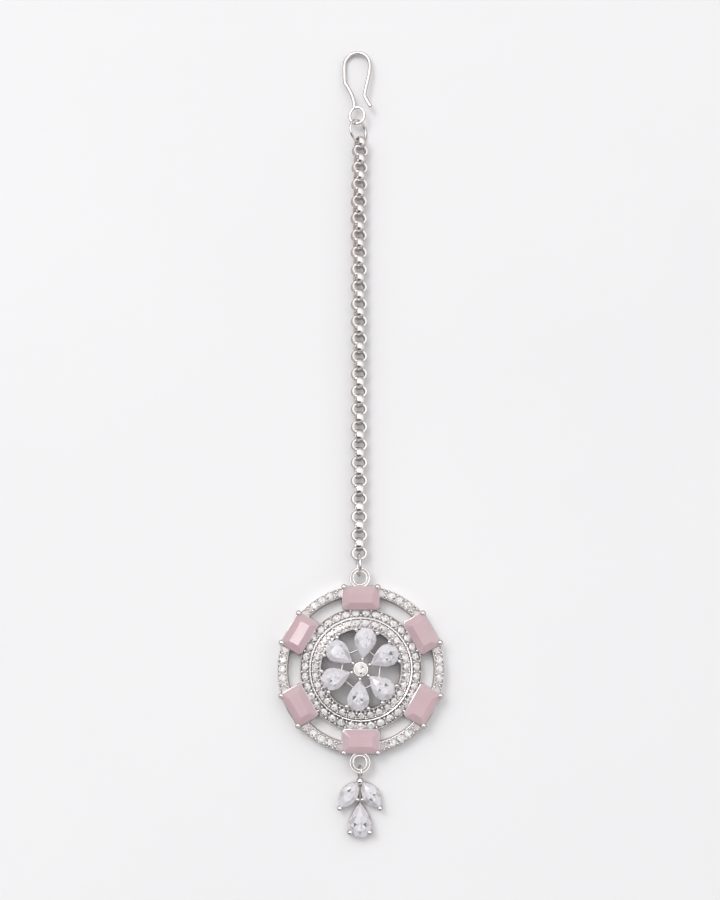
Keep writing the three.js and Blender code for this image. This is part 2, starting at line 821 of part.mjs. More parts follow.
function plainRing(diameter, turn) {
  const ring = new THREE.TorusGeometry((diameter - ringWire) / 2, ringWire / 2, 6, ringSides);
  return ring.rotateY(THREE.MathUtils.degToRad(turn));
}

const hookRingRadius = (hookRingDiameter - ringWire) / 2;
const hookRingHeight = hookRingRadius * Math.sin(THREE.MathUtils.degToRad(hookRingTilt)) + ringWire / 2;
const hookRingCentre =
  chainStart +
  chainSpan +
  linkInnerY +
  reachInside(flatInner(hookRingDiameter, ringWire), linkBand / 2, hookRingShift) -
  linkClearance;
const hookRingX = chainShift + chainRoute[chainRoute.length - 1].across + hookRingShift;

// Hook

const eyeCentre = hookRingCentre + hookRingDiameter / 2 - ringWire - eyeWire - eyePlay + eyeLength / 2;

function hook() {
  const onRoute = ({ across, up }) => new THREE.Vector3(across * bowRadius, up * hookReach, 0);
  const bow = [];
  for (let i = 0; i <= bowSteps; i += 1) {
    const angle = Math.PI - (Math.PI * i) / bowSteps;
    const y = hookReach - bowRadius + bowRadius * Math.sin(angle);
    bow.push(new THREE.Vector3(bowRadius * Math.cos(angle), y, 0));
  }
  const places = [...shankRoute.map(onRoute), ...bow, ...freeLegRoute.map(onRoute)];
  const extrudePath = new THREE.CatmullRomCurve3(places);
  const section = new THREE.Shape(circle(hookWire, hookSides));
  const wire = new THREE.ExtrudeGeometry(section, { steps: hookSteps, bevelEnabled: false, extrudePath });
  const bandX = (eyeWidth - eyeWire) / 2;
  const bandY = (eyeLength - eyeWire) / 2;
  const half = eyeWire / 2;
  const round = Array.from({ length: hookSides }, (_, i) => {
    const angle = (i / hookSides) * Math.PI * 2;
    return { out: half * Math.cos(angle), side: -half * Math.sin(angle) };
  });
  return toSolid(wire).add(toSolid(bandLoop(bandX, bandY, round, ringSides)));
}

// Assembly

const jewel = new THREE.Group();

function add(name, geometry, material) {
  const mesh = meshOf(name, geometry, material);
  jewel.add(mesh);
  return mesh;
}

function addStone(name, geometry, { x, y, turn }, z, material) {
  const mesh = add(name, geometry, material);
  mesh.position.set(x, y, z);
  mesh.rotation.z = THREE.MathUtils.degToRad(turn);
}

const hookMesh = add('hook', toGeometry(hook()), silver);
hookMesh.position.set(hookRingX + eyeShift, eyeCentre, hookRingHeight);
const hookRollAngle = THREE.MathUtils.degToRad(hookRoll);
const bowHeight = hookWire / 2 + bowRadius * Math.sin(hookRollAngle);
hookMesh.rotation.set(-Math.asin((hookRingHeight - bowHeight) / hookReach), -hookRollAngle, 0);

const hookRing = add('hook_ring', plainRing(hookRingDiameter, hookRingTilt), silver);
hookRing.position.set(hookRingX, hookRingCentre, hookRingHeight);
add('chain', toGeometry(chain()), silver);
add('end_link', plainRing(endLinkDiameter, endLinkTilt), silver).position.set(
  chainShift,
  endLinkCentre,
  endLinkHeight,
);
add('pendant_frame', toGeometry(pendantFrame()), silver);
for (const at of boxPlaces) {
  addStone(at.name, cutStone(boxStone, boxStoneWidth, stepTableShare), at, boxGirdle, pinkGlass);
}
for (const at of petalPlaces) {
  addStone(at.name, cutStone(petalStone, petalWidth, tableShare), at, flowerGirdle, clearGlass);
}
const roundStone = cutStone(centreStone, centreStoneDiameter, tableShare);
addStone('centre_stone', roundStone, { x: 0, y: 0, turn: 0 }, flowerGirdle, clearGlass);

const dropGroup = new THREE.Group();
dropGroup.position.x = loopShift;
jewel.add(dropGroup);
dropGroup.add(meshOf('drop_setting', toGeometry(dropSetting()), silver));
for (const at of leafPlaces) {
  const stone = meshOf(at.name, cutStone(leafStone, leafWidth, tableShare), clearGlass);
  stone.position.set(at.x, at.y, dropGirdleHeight);
  stone.rotation.z = THREE.MathUtils.degToRad(at.turn);
  dropGroup.add(stone);
}
const pearStone = meshOf('drop_stone', cutStone(dropStone, dropStoneWidth, tableShare), clearGlass);
pearStone.position.set(dropPlace.x, dropPlace.y, dropGirdleHeight);
pearStone.rotation.z = THREE.MathUtils.degToRad(dropPlace.turn);
dropGroup.add(pearStone);

// The middle of the bottom of the model's box lies at the origin
jewel.updateMatrixWorld(true);
const box = new THREE.Box3().setFromObject(jewel, true);
jewel.position.set(-(box.min.x + box.max.x) / 2, -(box.min.y + box.max.y) / 2, -box.min.z);

export default jewel;
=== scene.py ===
import math

import bpy
import numpy as np
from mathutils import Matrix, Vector


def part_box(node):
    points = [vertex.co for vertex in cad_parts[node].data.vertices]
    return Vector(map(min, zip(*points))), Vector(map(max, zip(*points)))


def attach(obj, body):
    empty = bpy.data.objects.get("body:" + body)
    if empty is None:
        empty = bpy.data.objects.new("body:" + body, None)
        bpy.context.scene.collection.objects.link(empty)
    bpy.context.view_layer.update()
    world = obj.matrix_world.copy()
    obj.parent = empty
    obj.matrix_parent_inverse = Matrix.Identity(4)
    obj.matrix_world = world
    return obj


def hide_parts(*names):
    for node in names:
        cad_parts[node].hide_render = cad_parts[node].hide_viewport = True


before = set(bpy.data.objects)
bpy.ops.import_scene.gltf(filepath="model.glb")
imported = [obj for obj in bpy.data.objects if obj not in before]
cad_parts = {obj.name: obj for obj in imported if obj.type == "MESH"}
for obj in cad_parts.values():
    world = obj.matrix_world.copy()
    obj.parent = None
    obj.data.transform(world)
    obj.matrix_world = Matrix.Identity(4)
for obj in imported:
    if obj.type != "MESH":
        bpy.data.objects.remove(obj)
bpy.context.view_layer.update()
MM = 0.001

# Sizes in millimetres, as on the solids. Leans, turns and tilts are in degrees.

PENDANT_RADIUS = 13.85
RING_RADIUS = 13.845
RING_WIDTH = 1.65
RING_HEIGHT = 1.9
BOX_STONES = 6
BOX_LENGTH = 6.1
BOX_WIDTH = 3.9
BOX_CORNER = 0.38
BOX_INSET = 0.2
BOX_WALL = 0.2
GIRDLE_LIFT = 0.55
BOX_GIRDLE = RING_HEIGHT + GIRDLE_LIFT
BOX_BALL = 0.97
THICK_POST = 0.7
DISC_EDGE = 1.6
DISC_RADIUS = 10.1
PAVE_DIAMETER = 1.27
RING_PAVE_PITCH = 1.5
RING_END_GAP = 0.575
DISC_PAVE_SHARE = 0.66
DISC_PAVE_GAP = 0.45
CHANNEL_DEPTH = 0.3
TURNED_SEGMENTS = 240
PAVE_LIFT = 0.02
BEAD = (0.45, 0.34, 0.62)  # ball, post, height
BEAD_FOOT = -0.34
SMALL_BEAD = (0.29, 0.21, 0.52)
RING_BEAD_FOOT = -0.32
DISC_BEAD_FOOT = -0.3
GRAIN = 0.25
GRAIN_PITCH = 0.3
GRAIN_INSET = 0.1
PETAL_LENGTH = 5.0
PETAL_WIDTH = 3.6
CENTRE_STONE = 2.2
FLOWER_GAP = 0.65
PETAL_INNER = CENTRE_STONE / 2 + FLOWER_GAP
PETAL_OUTER = PETAL_INNER + PETAL_LENGTH
PETAL_COVER = 0.15
OPENING_RADIUS = PETAL_OUTER - PETAL_COVER
DISC_BREAK_SHARE = 0.47
DISC_BREAK = DISC_RADIUS - (DISC_RADIUS - OPENING_RADIUS) * DISC_BREAK_SHARE
BREAK_RISE = 0.8
BREAK_HEIGHT = DISC_EDGE + BREAK_RISE
DISC_STEP = 0.15
STEP_INSET = 0.12
STEP_OUTER = DISC_BREAK - STEP_INSET
RIM_WIDTH = 0.2
RIM_RISE = 1.5
RIM_HEIGHT = DISC_EDGE + RIM_RISE
FLOWER_GIRDLE = RIM_HEIGHT + GIRDLE_LIFT
PETAL_SETTING = 1.3
SETTING_WALL = 0.3
FLOWER_TURN = -7.5
PINK_LEANS = ((-0.6, 0.5), (0.4, 0.6), (-0.8, 0.3), (0.5, 0.4), (-0.5, -0.6), (0.0, 0.0))
PETAL_LEANS = (-1.3, 4.8, -3.3, 2.5, -3.5, 1.0)
TIE_SHARE = 0.27
TIE_RADIUS = 0.18
PETAL_BALL = 0.75
PETAL_BALL_INSET = 0.13
INNER_BALL = 0.65
TIP_BALL_REACH = 0.2
FINE_POST = 0.5
BALL_RISE = 0.65
LOOP_DIAMETER = 3.52
LOOP_HOLE = 2.0
LOOP_THICKNESS = 0.8
LOOP_HEIGHT = 1.9
LOOP_SHIFT = -0.15
LOOP_SINK = 0.75
LOOP_CENTRE = PENDANT_RADIUS + BOX_WALL + LOOP_DIAMETER / 2 - LOOP_SINK
LOOP_SEGMENTS = 72
LEAF_LENGTH = 4.8
LEAF_WIDTH = 2.75
LEAF_SPREAD = 35
DROP_LENGTH = 5.65
DROP_WIDTH = 3.85
DROP_GIRDLE = 1.6
DROP_SETTING = 1.35
LEAF_BALL = 0.93
DROP_BALL = 1.0
DROP_BALL_ANGLE = 57
POINT_BALL = 0.66
TOP_BALL = 1.3
DROP_BAIL = 2.4
DROP_BAIL_WIRE = 0.36
DROP_BAIL_TILT = 104
DROP_BAIL_PLAY = 0.1
FLAT_SHARE = math.cos(math.pi / 12)  # how near the flats of a 12-sided ring lie to its middle
SPINE_RADIUS = 0.2
SPINE_HEIGHT = 0.55
CROWN = 0.15
GIRDLE = 0.035
PAVILION = 0.3
LINKS = 48
LINK_ACROSS = 2.75
LINK_ALONG = 2.385
LINK_WALL = 0.4
LINK_BAND = 1.1
LINK_SEAM = 5.0
LINK_STEPS = 44
CHAIN_SHIFT = -0.33
CHAIN_TWIST = (8, 22)
CHAIN_LIFT = 0.28
CHAIN_LIFT_LINKS = 6
CHAIN_ROUTE = ((0.0, 0.0), (0.55, -0.03), (0.82, -0.1), (1.0, 0.16))
RING_WIRE = 0.45
END_RING = 3.9
END_RING_TILT = 98
HOOK_WIRE = 0.66
HOOK_REACH = 12.13
HOOK_RING = 4.35
HOOK_RING_TILT = 47
HOOK_ROLL = 9
HOOK_SHIFT = -0.2
BOW_RADIUS = 2.26
EYE_LENGTH = 3.6
EYE_WIDTH = 3.1
EYE_WIRE = 0.5
EYE_PLAY = 0.16
WIRE_SHARE = 0.97

# Numbers of the facets painted in the darkest glass as dark reflections, counted as brilliant() makes them

PETAL_PAINTED_DARK_FACETS = ((), (4, 9), (4, 15), (3, 4, 16), (13,), ())
DROP_PAINTED_DARK_FACETS = (3, 15)
LEAF_PAINTED_DARK_FACETS = (("left", -1, (12,)), ("right", 1, (4, 18)))


def middle_of(node):
    low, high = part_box(node)
    return np.array((low + high) / 2) / MM


def low_of(node):
    return np.array(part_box(node)[0]) / MM


def high_of(node):
    return np.array(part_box(node)[1]) / MM


CENTRE = middle_of("centre_stone")[:2]

# Shapes: each is a pair of points in millimetres and faces


def shift(x, y, z=0.0):
    m = np.eye(4)
    m[:3, 3] = (x, y, z)
    return m


def turn(axis, degrees):
    c = math.cos(math.radians(degrees))
    s = math.sin(math.radians(degrees))
    a, b = {"x": (1, 2), "y": (2, 0), "z": (0, 1)}[axis]
    m = np.eye(4)
    m[a, a] = m[b, b] = c
    m[a, b] = -s
    m[b, a] = s
    return m


def moved(shape, matrix):
    points, faces = shape
    return points @ matrix[:3, :3].T + matrix[:3, 3], faces


def joined(shapes):
    points = []
    faces = []
    count = 0
    for part_points, part_faces in shapes:
        points.append(part_points)
        faces += [[i + count for i in face] for face in part_faces]
        count += len(part_points)
    return np.concatenate(points), faces


def revolve(profile, segments, closed=False):
    """A profile of (radius, height) turned about Z. An open one starts and ends on the axis."""
    ring = circle(1, segments)
    rows = profile if closed else profile[1:-1]
    points = [np.column_stack([ring * r, np.full(segments, z)]) for r, z in rows]
    faces = []
    count = len(rows)
    for j in range(count if closed else count - 1):
        k = (j + 1) % count
        for i in range(segments):
            n = (i + 1) % segments
            faces.append([j * segments + i, j * segments + n, k * segments + n, k * segments + i])
    if not closed:
        points.append(np.array([[0, 0, profile[0][1]], [0, 0, profile[-1][1]]]))
        bottom = count * segments
        last = (count - 1) * segments
        for i in range(segments):
            n = (i + 1) % segments
            faces.append([bottom, n, i])
            faces.append([bottom + 1, last + i, last + n])
    return np.concatenate(points), faces


def outline_normals(outline):
    """Outward offsets, 1 from each side of a closed counter-clockwise outline, mitred at its corners."""
    before = outline - np.roll(outline, 1, 0)
    after = np.roll(outline, -1, 0) - outline
    n1 = np.stack([before[:, 1], -before[:, 0]], 1)
    n2 = np.stack([after[:, 1], -after[:, 0]], 1)
    n1 /= np.linalg.norm(n1, axis=1)[:, None]
    n2 /= np.linalg.norm(n2, axis=1)[:, None]
    mean = n1 + n2
    mean /= np.linalg.norm(mean, axis=1)[:, None]
    return mean / np.maximum((mean * n1).sum(1), 0.55)[:, None]


def band(outline, profile):
    """A closed profile of (out, height) carried round a closed outline."""
    normals = outline_normals(outline)
    count = len(outline)
    points = [np.column_stack([outline + normals * out, np.full(count, z)]) for out, z in profile]
    faces = []
    rows = len(profile)
    for j in range(rows):
        k = (j + 1) % rows
        for i in range(count):
            n = (i + 1) % count
            faces.append([j * count + i, j * count + n, k * count + n, k * count + i])
    return np.concatenate(points), faces


def tube(path, section, closed=False):
    """A section of (u, v) carried along a path. Open ends are closed flat."""
    path = np.asarray(path, float)
    if closed:
        ahead = np.roll(path, -1, 0) - np.roll(path, 1, 0)
    else:
        ahead = np.gradient(path, axis=0)
    ahead /= np.linalg.norm(ahead, axis=1)[:, None]
    side = np.cross(ahead[0], (0.0, 0.0, 1.0))
    if np.linalg.norm(side) < 0.1:
        side = np.cross(ahead[0], (1.0, 0.0, 0.0))
    points = []
    for p, t in zip(path, ahead):
        side = side - t * (side @ t)
        side /= np.linalg.norm(side)
        up = np.cross(side, t)
        points += [p + side * u + up * v for u, v in section]
    count = len(section)
    rows = len(path)
    faces = []
    for j in range(rows if closed else rows - 1):
        k = (j + 1) % rows
        for i in range(count):
            n = (i + 1) % count
            faces.append([j * count + i, k * count + i, k * count + n, j * count + n])
    if not closed:
        faces.append(list(range(count)))
        faces.append([(rows - 1) * count + i for i in reversed(range(count))])
    return np.array(points), faces


def circle(radius, count):
    angles = np.arange(count) * 2 * math.pi / count
    return np.stack([radius * np.cos(angles), radius * np.sin(angles)], 1)


def wire_ring(diameter, wire):
    middle = circle((diameter - wire) / 2, 48)
    return tube(np.column_stack([middle, np.zeros(len(middle))]), circle(wire / 2, 14), closed=True)


def ball(diameter, segments, rows):
    angles = [-math.pi / 2 + math.pi * j / rows for j in range(rows + 1)]
    profile = [(diameter / 2 * math.cos(a), diameter / 2 * math.sin(a)) for a in angles]
    return revolve(profile, segments)


def prong(diameter, post, height, segments=22, steps=11):
    """A post with a ball on its end, from z = 0 up to the ball's top."""
    centre = height - diameter / 2
    start = math.acos(post / diameter)
    profile = [(0, 0), (post / 2, 0)]
    for j in range(steps + 1):
        a = -start + (math.pi / 2 + start) * j / steps
        profile.append((diameter / 2 * math.cos(a), centre + diameter / 2 * math.sin(a)))
    return revolve(profile, segments)


# Outlines, counter-clockwise, long side along Y except on the octagon


def octagon(length, width, corner):
    x, y, c = length / 2, width / 2, corner
    half = [(x, c - y), (x, y - c), (x - c, y), (c - x, y)]
    return np.array(half + [(-a, -b) for a, b in half])


def pear(length, width, count=32):
    """Point towards -Y. The outline starts at the point, and count is a multiple of 4."""
    half = width / 2
    belly = length / 2 - half
    shoulder = belly - (length - half) * 0.35
    quarter = count // 4
    right = []
    for i in range(quarter):
        t = i / quarter
        x = 2 * t * (1 - t) * half + t * t * half
        y = -((1 - t) ** 2) * length / 2 + 2 * t * (1 - t) * shoulder + t * t * belly
        right.append((x, y))
    for i in range(quarter):
        a = math.pi / 2 * i / quarter
        right.append((half * math.cos(a), belly + half * math.sin(a)))
    left = [(-x, y) for x, y in right[1:]][::-1]
    return np.array(right + [(0.0, length / 2)] + left)


def marquise(length, width, count=32):
    radius = (length * length + width * width) / (4 * width)
    half = math.asin(length / 2 / radius)
    side = []
    for i in range(count // 2):
        a = half * (2 * i / (count // 2) - 1)
        side.append((radius * math.cos(a) - radius + width / 2, radius * math.sin(a)))
    return np.array(side + [(-x, -y) for x, y in side])


# Cut stones, the middle of the girdle at z = 0


def brilliant(outline, width, table=0.56, centre=(0.0, 0.0), crown=CROWN, pavilion=PAVILION):
    """Eight-fold cut over an outline whose number of points is a multiple of 16."""
    waist = 0.8
    centre = np.array(centre)
    count = len(outline)
    step = count // 16
    half = width * GIRDLE / 2
    top = half + width * crown
    low = -half - width * pavilion
    spoke = outline - centre

    def at(index, scale, z):
        return [*(centre + spoke[index % count] * scale), z]

    points = [[x, y, half] for x, y in outline] + [[x, y, -half] for x, y in outline]
    tables = []
    waists = []
    lowers = []
    waist_z = half + (top - half) * (1 - waist) / (1 - table) * 1.12
    for k in range(8):
        tables.append(len(points))
        points.append(at((2 * k + 1) * step, table, top))
        waists.append(len(points))
        points.append(at(2 * k * step, waist, waist_z))
        lowers.append(len(points))
        points.append(at(2 * k * step, 0.3, -half + (low + half) * 0.8))
    culet = len(points)
    points.append([*centre, low])
    inner = len(points)
    points += [at(2 * k * step, table * 0.45, top) for k in range(8)]
    points.append([*centre, top])
    faces = []
    for k in range(8):
        n = (k + 1) % 8
        faces.append([tables[k], tables[n], inner + n])
        faces.append([tables[k], inner + n, inner + k])
        faces.append([inner + k, inner + n, inner + 8])
    for k in range(8):
        n = (k + 1) % 8
        a = 2 * k * step
        faces.append([tables[k], waists[n], tables[n]])
        faces.append([tables[k], waists[k], (a + step) % count, waists[n]])
        faces.append([culet, lowers[n], (a + step) % count + count, lowers[k]])
        for j in range(step):
            for first, hub in ((a, k), (a + step, n)):
                i, m = (first + j) % count, (first + j + 1) % count
                faces.append([waists[hub], i, m])
                faces.append([lowers[hub], m + count, i + count])
    for i in range(count):
        m = (i + 1) % count
        faces.append([i, i + count, m + count, m])
    return np.array(points), faces


def step_cut(levels):
    """Flat steps: levels of (outline, height) from the top face down, and a flat back."""
    count = len(levels[0][0])
    points = [np.column_stack([outline, np.full(count, z)]) for outline, z in levels]
    faces = [list(range(count))]
    for j in range(len(levels) - 1):
        for i in range(count):
            n = (i + 1) % count
            faces.append([j * count + i, (j + 1) * count + i, (j + 1) * count + n, j * count + n])
    last = (len(levels) - 1) * count
    faces.append([last + i for i in reversed(range(count))])
    return np.concatenate(points), faces


def small_stone(diameter):
    """A pavé stone, a little steeper than the large ones."""
    return brilliant(circle(diameter / 2, 16), diameter, table=0.55, crown=0.17, pavilion=0.32)


# Materials


def new_material(name):
    material = bpy.data.materials.new(name)
    material.use_nodes = True
    nodes = material.node_tree.nodes
    links = material.node_tree.links
    shader = nodes["Principled BSDF"]
    return material, nodes, links, shader


def noise_on(nodes, links, scale, detail=3.0):
    coords = nodes.new("ShaderNodeTexCoord")
    noise = nodes.new("ShaderNodeTexNoise")
    noise.inputs["Scale"].default_value = scale
    noise.inputs["Detail"].default_value = detail
    links.new(coords.outputs["Object"], noise.inputs["Vector"])
    return noise


def ramp_between(nodes, links, source, low, high, start=0.3, end=0.7):
    ramp = nodes.new("ShaderNodeValToRGB")
    ramp.color_ramp.elements[0].position = start
    ramp.color_ramp.elements[1].position = end
    ramp.color_ramp.elements[0].color = (*low, 1)
    ramp.color_ramp.elements[1].color = (*high, 1)
    links.new(source, ramp.inputs["Fac"])
    return ramp.outputs["Color"]


def rough_between(nodes, links, source, shader, low, high):
    spread = nodes.new("ShaderNodeMapRange")
    spread.inputs["To Min"].default_value = low
    spread.inputs["To Max"].default_value = high
    links.new(source, spread.inputs["Value"])
    links.new(spread.outputs["Result"], shader.inputs["Roughness"])


def bump_on(nodes, links, source, shader, strength, distance):
    bump = nodes.new("ShaderNodeBump")
    bump.inputs["Strength"].default_value = strength
    bump.inputs["Distance"].default_value = distance
    links.new(source, bump.inputs["Height"])
    links.new(bump.outputs["Normal"], shader.inputs["Normal"])


def metal_material(name, low, high, rough_low, rough_high, wave):
    material, nodes, links, shader = new_material(name)
    shader.inputs["Metallic"].default_value = 1.0
    fine = noise_on(nodes, links, 900.0)
    broad = noise_on(nodes, links, 220.0, 2.0)
    color = ramp_between(nodes, links, broad.outputs["Fac"], low, high)
    links.new(color, shader.inputs["Base Color"])
    rough_between(nodes, links, fine.outputs["Fac"], shader, rough_low, rough_high)
    bump_on(nodes, links, broad.outputs["Fac"], shader, wave, 0.2 * MM)
    return material


polished = metal_material("polished_rhodium", (0.83, 0.80, 0.80), (0.90, 0.88, 0.88), 0.05, 0.16, 0.15)
chain_metal = metal_material("chain_rhodium", (0.80, 0.77, 0.76), (0.90, 0.87, 0.86), 0.18, 0.28, 0.25)
bead_metal = metal_material("bead_rhodium", (0.84, 0.81, 0.81), (0.92, 0.90, 0.90), 0.03, 0.09, 0.08)
# A darker copy of the rhodium: painted shade in the stone channels, the bail's grooves and on the spine
# under the drop
shaded_recess_metal = metal_material("rhodium_painted_recess_shade", (0.50, 0.46, 0.45), (0.68, 0.64, 0.63), 0.25, 0.42, 0.5)
# A darker, rougher copy of the rhodium for the walls of the openings and the ties under the petals; its
# darker colour is painted shade along the openings' edges
wall_shade_metal = metal_material("inner_wall_rhodium_painted_shade", (0.72, 0.67, 0.66), (0.86, 0.82, 0.81), 0.4, 0.55, 0.3)


def glass_material(name, low, high, transmission, ior, roughness, cloud):
    material, nodes, links, shader = new_material(name)
    broad = noise_on(nodes, links, cloud, 2.0)
    color = ramp_between(nodes, links, broad.outputs["Fac"], low, high)
    links.new(color, shader.inputs["Base Color"])
    shader.inputs["Transmission Weight"].default_value = transmission
    shader.inputs["IOR"].default_value = ior
    rough_between(nodes, links, broad.outputs["Fac"], shader, roughness, roughness * 2)
    return material, shader


# Painted reflections of the cut stones: four tones of glass, light to dark, stand for the light and dark
# that each facet reflects, and the share of the facets that takes each

PAINTED_FACET_TONES = (1.0, 0.88, 0.66, 0.14)
CLEAR_PAINTED_TONE_SHARES = (0.46, 0.34, 0.2, 0.0)
PAVE_PAINTED_TONE_SHARES = (0.6, 0.2, 0.1, 0.1)
ZIRCONIA_IOR = 1.9
PINK_IOR = 1.52


def painted_tone_glass(name, tint, transmission):
    """Glass in each painted tone: lighter and darker copies of one glass for the facets that return more or
    less light, as painted reflections.
    """
    made = []
    for i, tone in enumerate(PAINTED_FACET_TONES):
        low = tuple(0.93 * tone * c for c in tint)
        high = tuple(tone * c for c in tint)
        glass, _ = glass_material(f"{name}_{i + 1}", low, high, transmission, ZIRCONIA_IOR, 0.02, 900.0)
        made.append(glass)
    return made


# Clear and pavé glass in painted tones: the facets' light and dark are painted reflections
clear_painted_glass = painted_tone_glass("clear_stone", (0.88, 0.86, 0.91), 0.15)
pave_painted_glass = painted_tone_glass("pave_stone", (1.0, 0.99, 0.98), 0.1)
clear_back = metal_material("clear_stone_back", (0.80, 0.79, 0.86), (0.93, 0.92, 0.98), 0.04, 0.12, 0.1)
pave_back = metal_material("pave_stone_back", (0.88, 0.87, 0.88), (0.97, 0.97, 0.97), 0.05, 0.14, 0.1)
pink_glass, pink_shader = glass_material(
    "milky_pink", (0.77, 0.565, 0.605), (0.84, 0.645, 0.685), 0.3, PINK_IOR, 0.05, 150.0
)
pink_shader.inputs["Subsurface Weight"].default_value = 0.4
pink_shader.inputs["Subsurface Radius"].default_value = (1.0, 0.6, 0.6)
pink_shader.inputs["Subsurface Scale"].default_value = 0.0012

# Pieces

FACES_DOWN = -0.25
facet_draws = np.random.default_rng(5)


def cut_piece(name, shape, glass, back, node, shares, painted_dark_facets=()):
    """Cut stones with painted reflections. A facet takes a painted tone of glass, the darkest if marked as a
    painted dark reflection, or the back if it looks down.
    """
    thing = piece(name, shape, glass[0], node, smooth=0)
    mesh = thing.data
    for material in (*glass[1:], back):
        mesh.materials.append(material)
    picks = facet_draws.choice(len(glass), size=len(mesh.polygons), p=shares)
    picks[list(painted_dark_facets)] = len(glass) - 1
    for polygon, pick in zip(mesh.polygons, picks.tolist()):
        polygon.material_index = len(glass) if polygon.normal.z < FACES_DOWN else pick


def piece(name, shape, material, node, smooth=40, back=None, back_faces=()):
    """A mesh in place of a node. Its second material goes on the faces listed."""
    points, faces = shape
    mesh = bpy.data.meshes.new(name)
    mesh.from_pydata((points * MM).tolist(), [], faces)
    mesh.validate()
    mesh.materials.append(material)
    if back:
        mesh.materials.append(back)
        for polygon in mesh.polygons:
            polygon.material_index = 1 if polygon.index in back_faces else 0
    if smooth:
        mesh.shade_smooth()
        mesh.set_sharp_from_angle(angle=math.radians(smooth))
    mesh.update()
    thing = bpy.data.objects.new(name, mesh)
    bpy.context.scene.collection.objects.link(thing)
    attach(thing, "root")
    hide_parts(node)
    return thing


def polar(radius, degrees):
    """A place on the pendant, the angle counter-clockwise from its top."""
    a = math.radians(degrees)
    return CENTRE[0] - radius * math.sin(a), CENTRE[1] + radius * math.cos(a)


def placed(shape, radius, degrees, z):
    x, y = polar(radius, degrees)
    return moved(shape, shift(x, y, z) @ turn("z", degrees))


# Pendant: outer ring and domed disc


def channel_profile(outer, inner, outer_z, inner_z, lip, round_off):
    """The top of a ring from its outside in: a lip, a channel for the stones and a lip again."""
    length = math.hypot(outer - inner, inner_z - outer_z)
    along = ((inner - outer) / length, (inner_z - outer_z) / length)
    up = (along[1], -along[0])
    edge = [(0, -round_off), (round_off * 0.3, -round_off * 0.3), (round_off, 0), (lip, 0)]
    steps = edge + [(lip + 0.05, -CHANNEL_DEPTH * 0.6), (lip + 0.15, -CHANNEL_DEPTH)]
    steps += [(length - a, b) for a, b in reversed(steps)]
    return [(outer + along[0] * a + up[0] * b, outer_z + along[1] * a + up[1] * b) for a, b in steps]


def channel_faces(start, end=8):
    """The faces in the channel of a turned ring whose channel_profile is at this point of its profile."""
    return set(range((start + 3) * TURNED_SEGMENTS, (start + end) * TURNED_SEGMENTS))


ring_inner = RING_RADIUS - RING_WIDTH
ring_profile = [(ring_inner, 0.0), (RING_RADIUS, 0.0)]
ring_profile += channel_profile(RING_RADIUS, ring_inner, RING_HEIGHT, RING_HEIGHT, 0.13, 0.08)
piece(
    "outer_ring", moved(revolve(ring_profile, TURNED_SEGMENTS, closed=True), shift(*CENTRE)), polished,
    "pendant_frame", smooth=35, back=shaded_recess_metal, back_faces=channel_faces(2),
)

low_profile = [(OPENING_RADIUS + 0.5, 1.2), (DISC_RADIUS - 0.9, 0.0), (DISC_RADIUS, 0.0)]
low_profile += channel_profile(DISC_RADIUS, DISC_BREAK, DISC_EDGE, BREAK_HEIGHT, 0.12, 0.06)
low_profile += [(OPENING_RADIUS + 0.5, BREAK_HEIGHT - 0.1)]
high_profile = [(OPENING_RADIUS, 1.9), (OPENING_RADIUS + 0.7, 1.9), (STEP_OUTER, BREAK_HEIGHT - 0.15)]
high_profile += channel_profile(
    STEP_OUTER, OPENING_RADIUS, BREAK_HEIGHT + DISC_STEP, RIM_HEIGHT, 0.05, 0.04
)
disc_bands = [revolve(profile, TURNED_SEGMENTS, closed=True) for profile in (low_profile, high_profile)]
high_start = TURNED_SEGMENTS * len(low_profile)
disc_channels = channel_faces(3, 11) | {high_start + i for i in channel_faces(3)}
piece(
    "domed_disc", moved(joined(disc_bands), shift(*CENTRE)), polished, "pendant_frame",
    smooth=35, back=shaded_recess_metal, back_faces=disc_channels,
)

bead = prong(*BEAD, 12, 7)
small_bead = prong(*SMALL_BEAD, 10, 6)
mill_grain = ball(GRAIN, 8, 5)
pave_shapes = []
bead_shapes = []
grain_shapes = []


class Row:
    """A row of pavé stones and of pairs of beads, on the ring or on a sloping band of the disc."""

    def __init__(self, radius, height, slope=0.0):
        self.radius = radius
        self.height = height
        self.slope = math.degrees(slope)

    def place(self, degrees):
        x, y = polar(self.radius, degrees)
        return shift(x, y, self.height) @ turn("z", degrees) @ turn("x", -self.slope)

    def stone(self, degrees, diameter):
        pave_shapes.append(moved(small_stone(diameter), self.place(degrees) @ shift(0, 0, PAVE_LIFT)))

    def beads(self, degrees, reach, shape=bead, foot=BEAD_FOOT):
        for side in (-reach, reach):
            bead_shapes.append(moved(shape, self.place(degrees) @ shift(0, side, foot)))


def grains_on(radius, height):
    count = int(2 * math.pi * radius / GRAIN_PITCH)
    for i in range(count):
        x, y = polar(radius, 360 / count * i)
        grain_shapes.append(moved(mill_grain, shift(x, y, height)))


ring_row = Row(RING_RADIUS - RING_WIDTH / 2, RING_HEIGHT)
box_half = math.asin((BOX_LENGTH / 2 + BOX_WALL + RING_END_GAP) / ring_row.radius)
ring_arc = 360 / BOX_STONES - 2 * math.degrees(box_half)
ring_pitch = math.degrees(RING_PAVE_PITCH / ring_row.radius)
ring_count = int(ring_arc / ring_pitch)
for gap in range(BOX_STONES):
    middle = 360 / BOX_STONES * (gap + 0.5)
    for i in range(ring_count):
        degrees = middle + (i - (ring_count - 1) / 2) * ring_pitch
        ring_row.stone(degrees, PAVE_DIAMETER)
        ring_row.beads(degrees, 0.69, small_bead, RING_BEAD_FOOT)
    for i in range(ring_count + 1):
        ring_row.beads(middle + (i - ring_count / 2) * ring_pitch, 0.5)
    for side in (-1, 1):
        for past, reach in ((0.27, 0.24), (0.52, 0.52)):
            ring_row.beads(middle + side * (ring_count / 2 + past) * ring_pitch, reach)

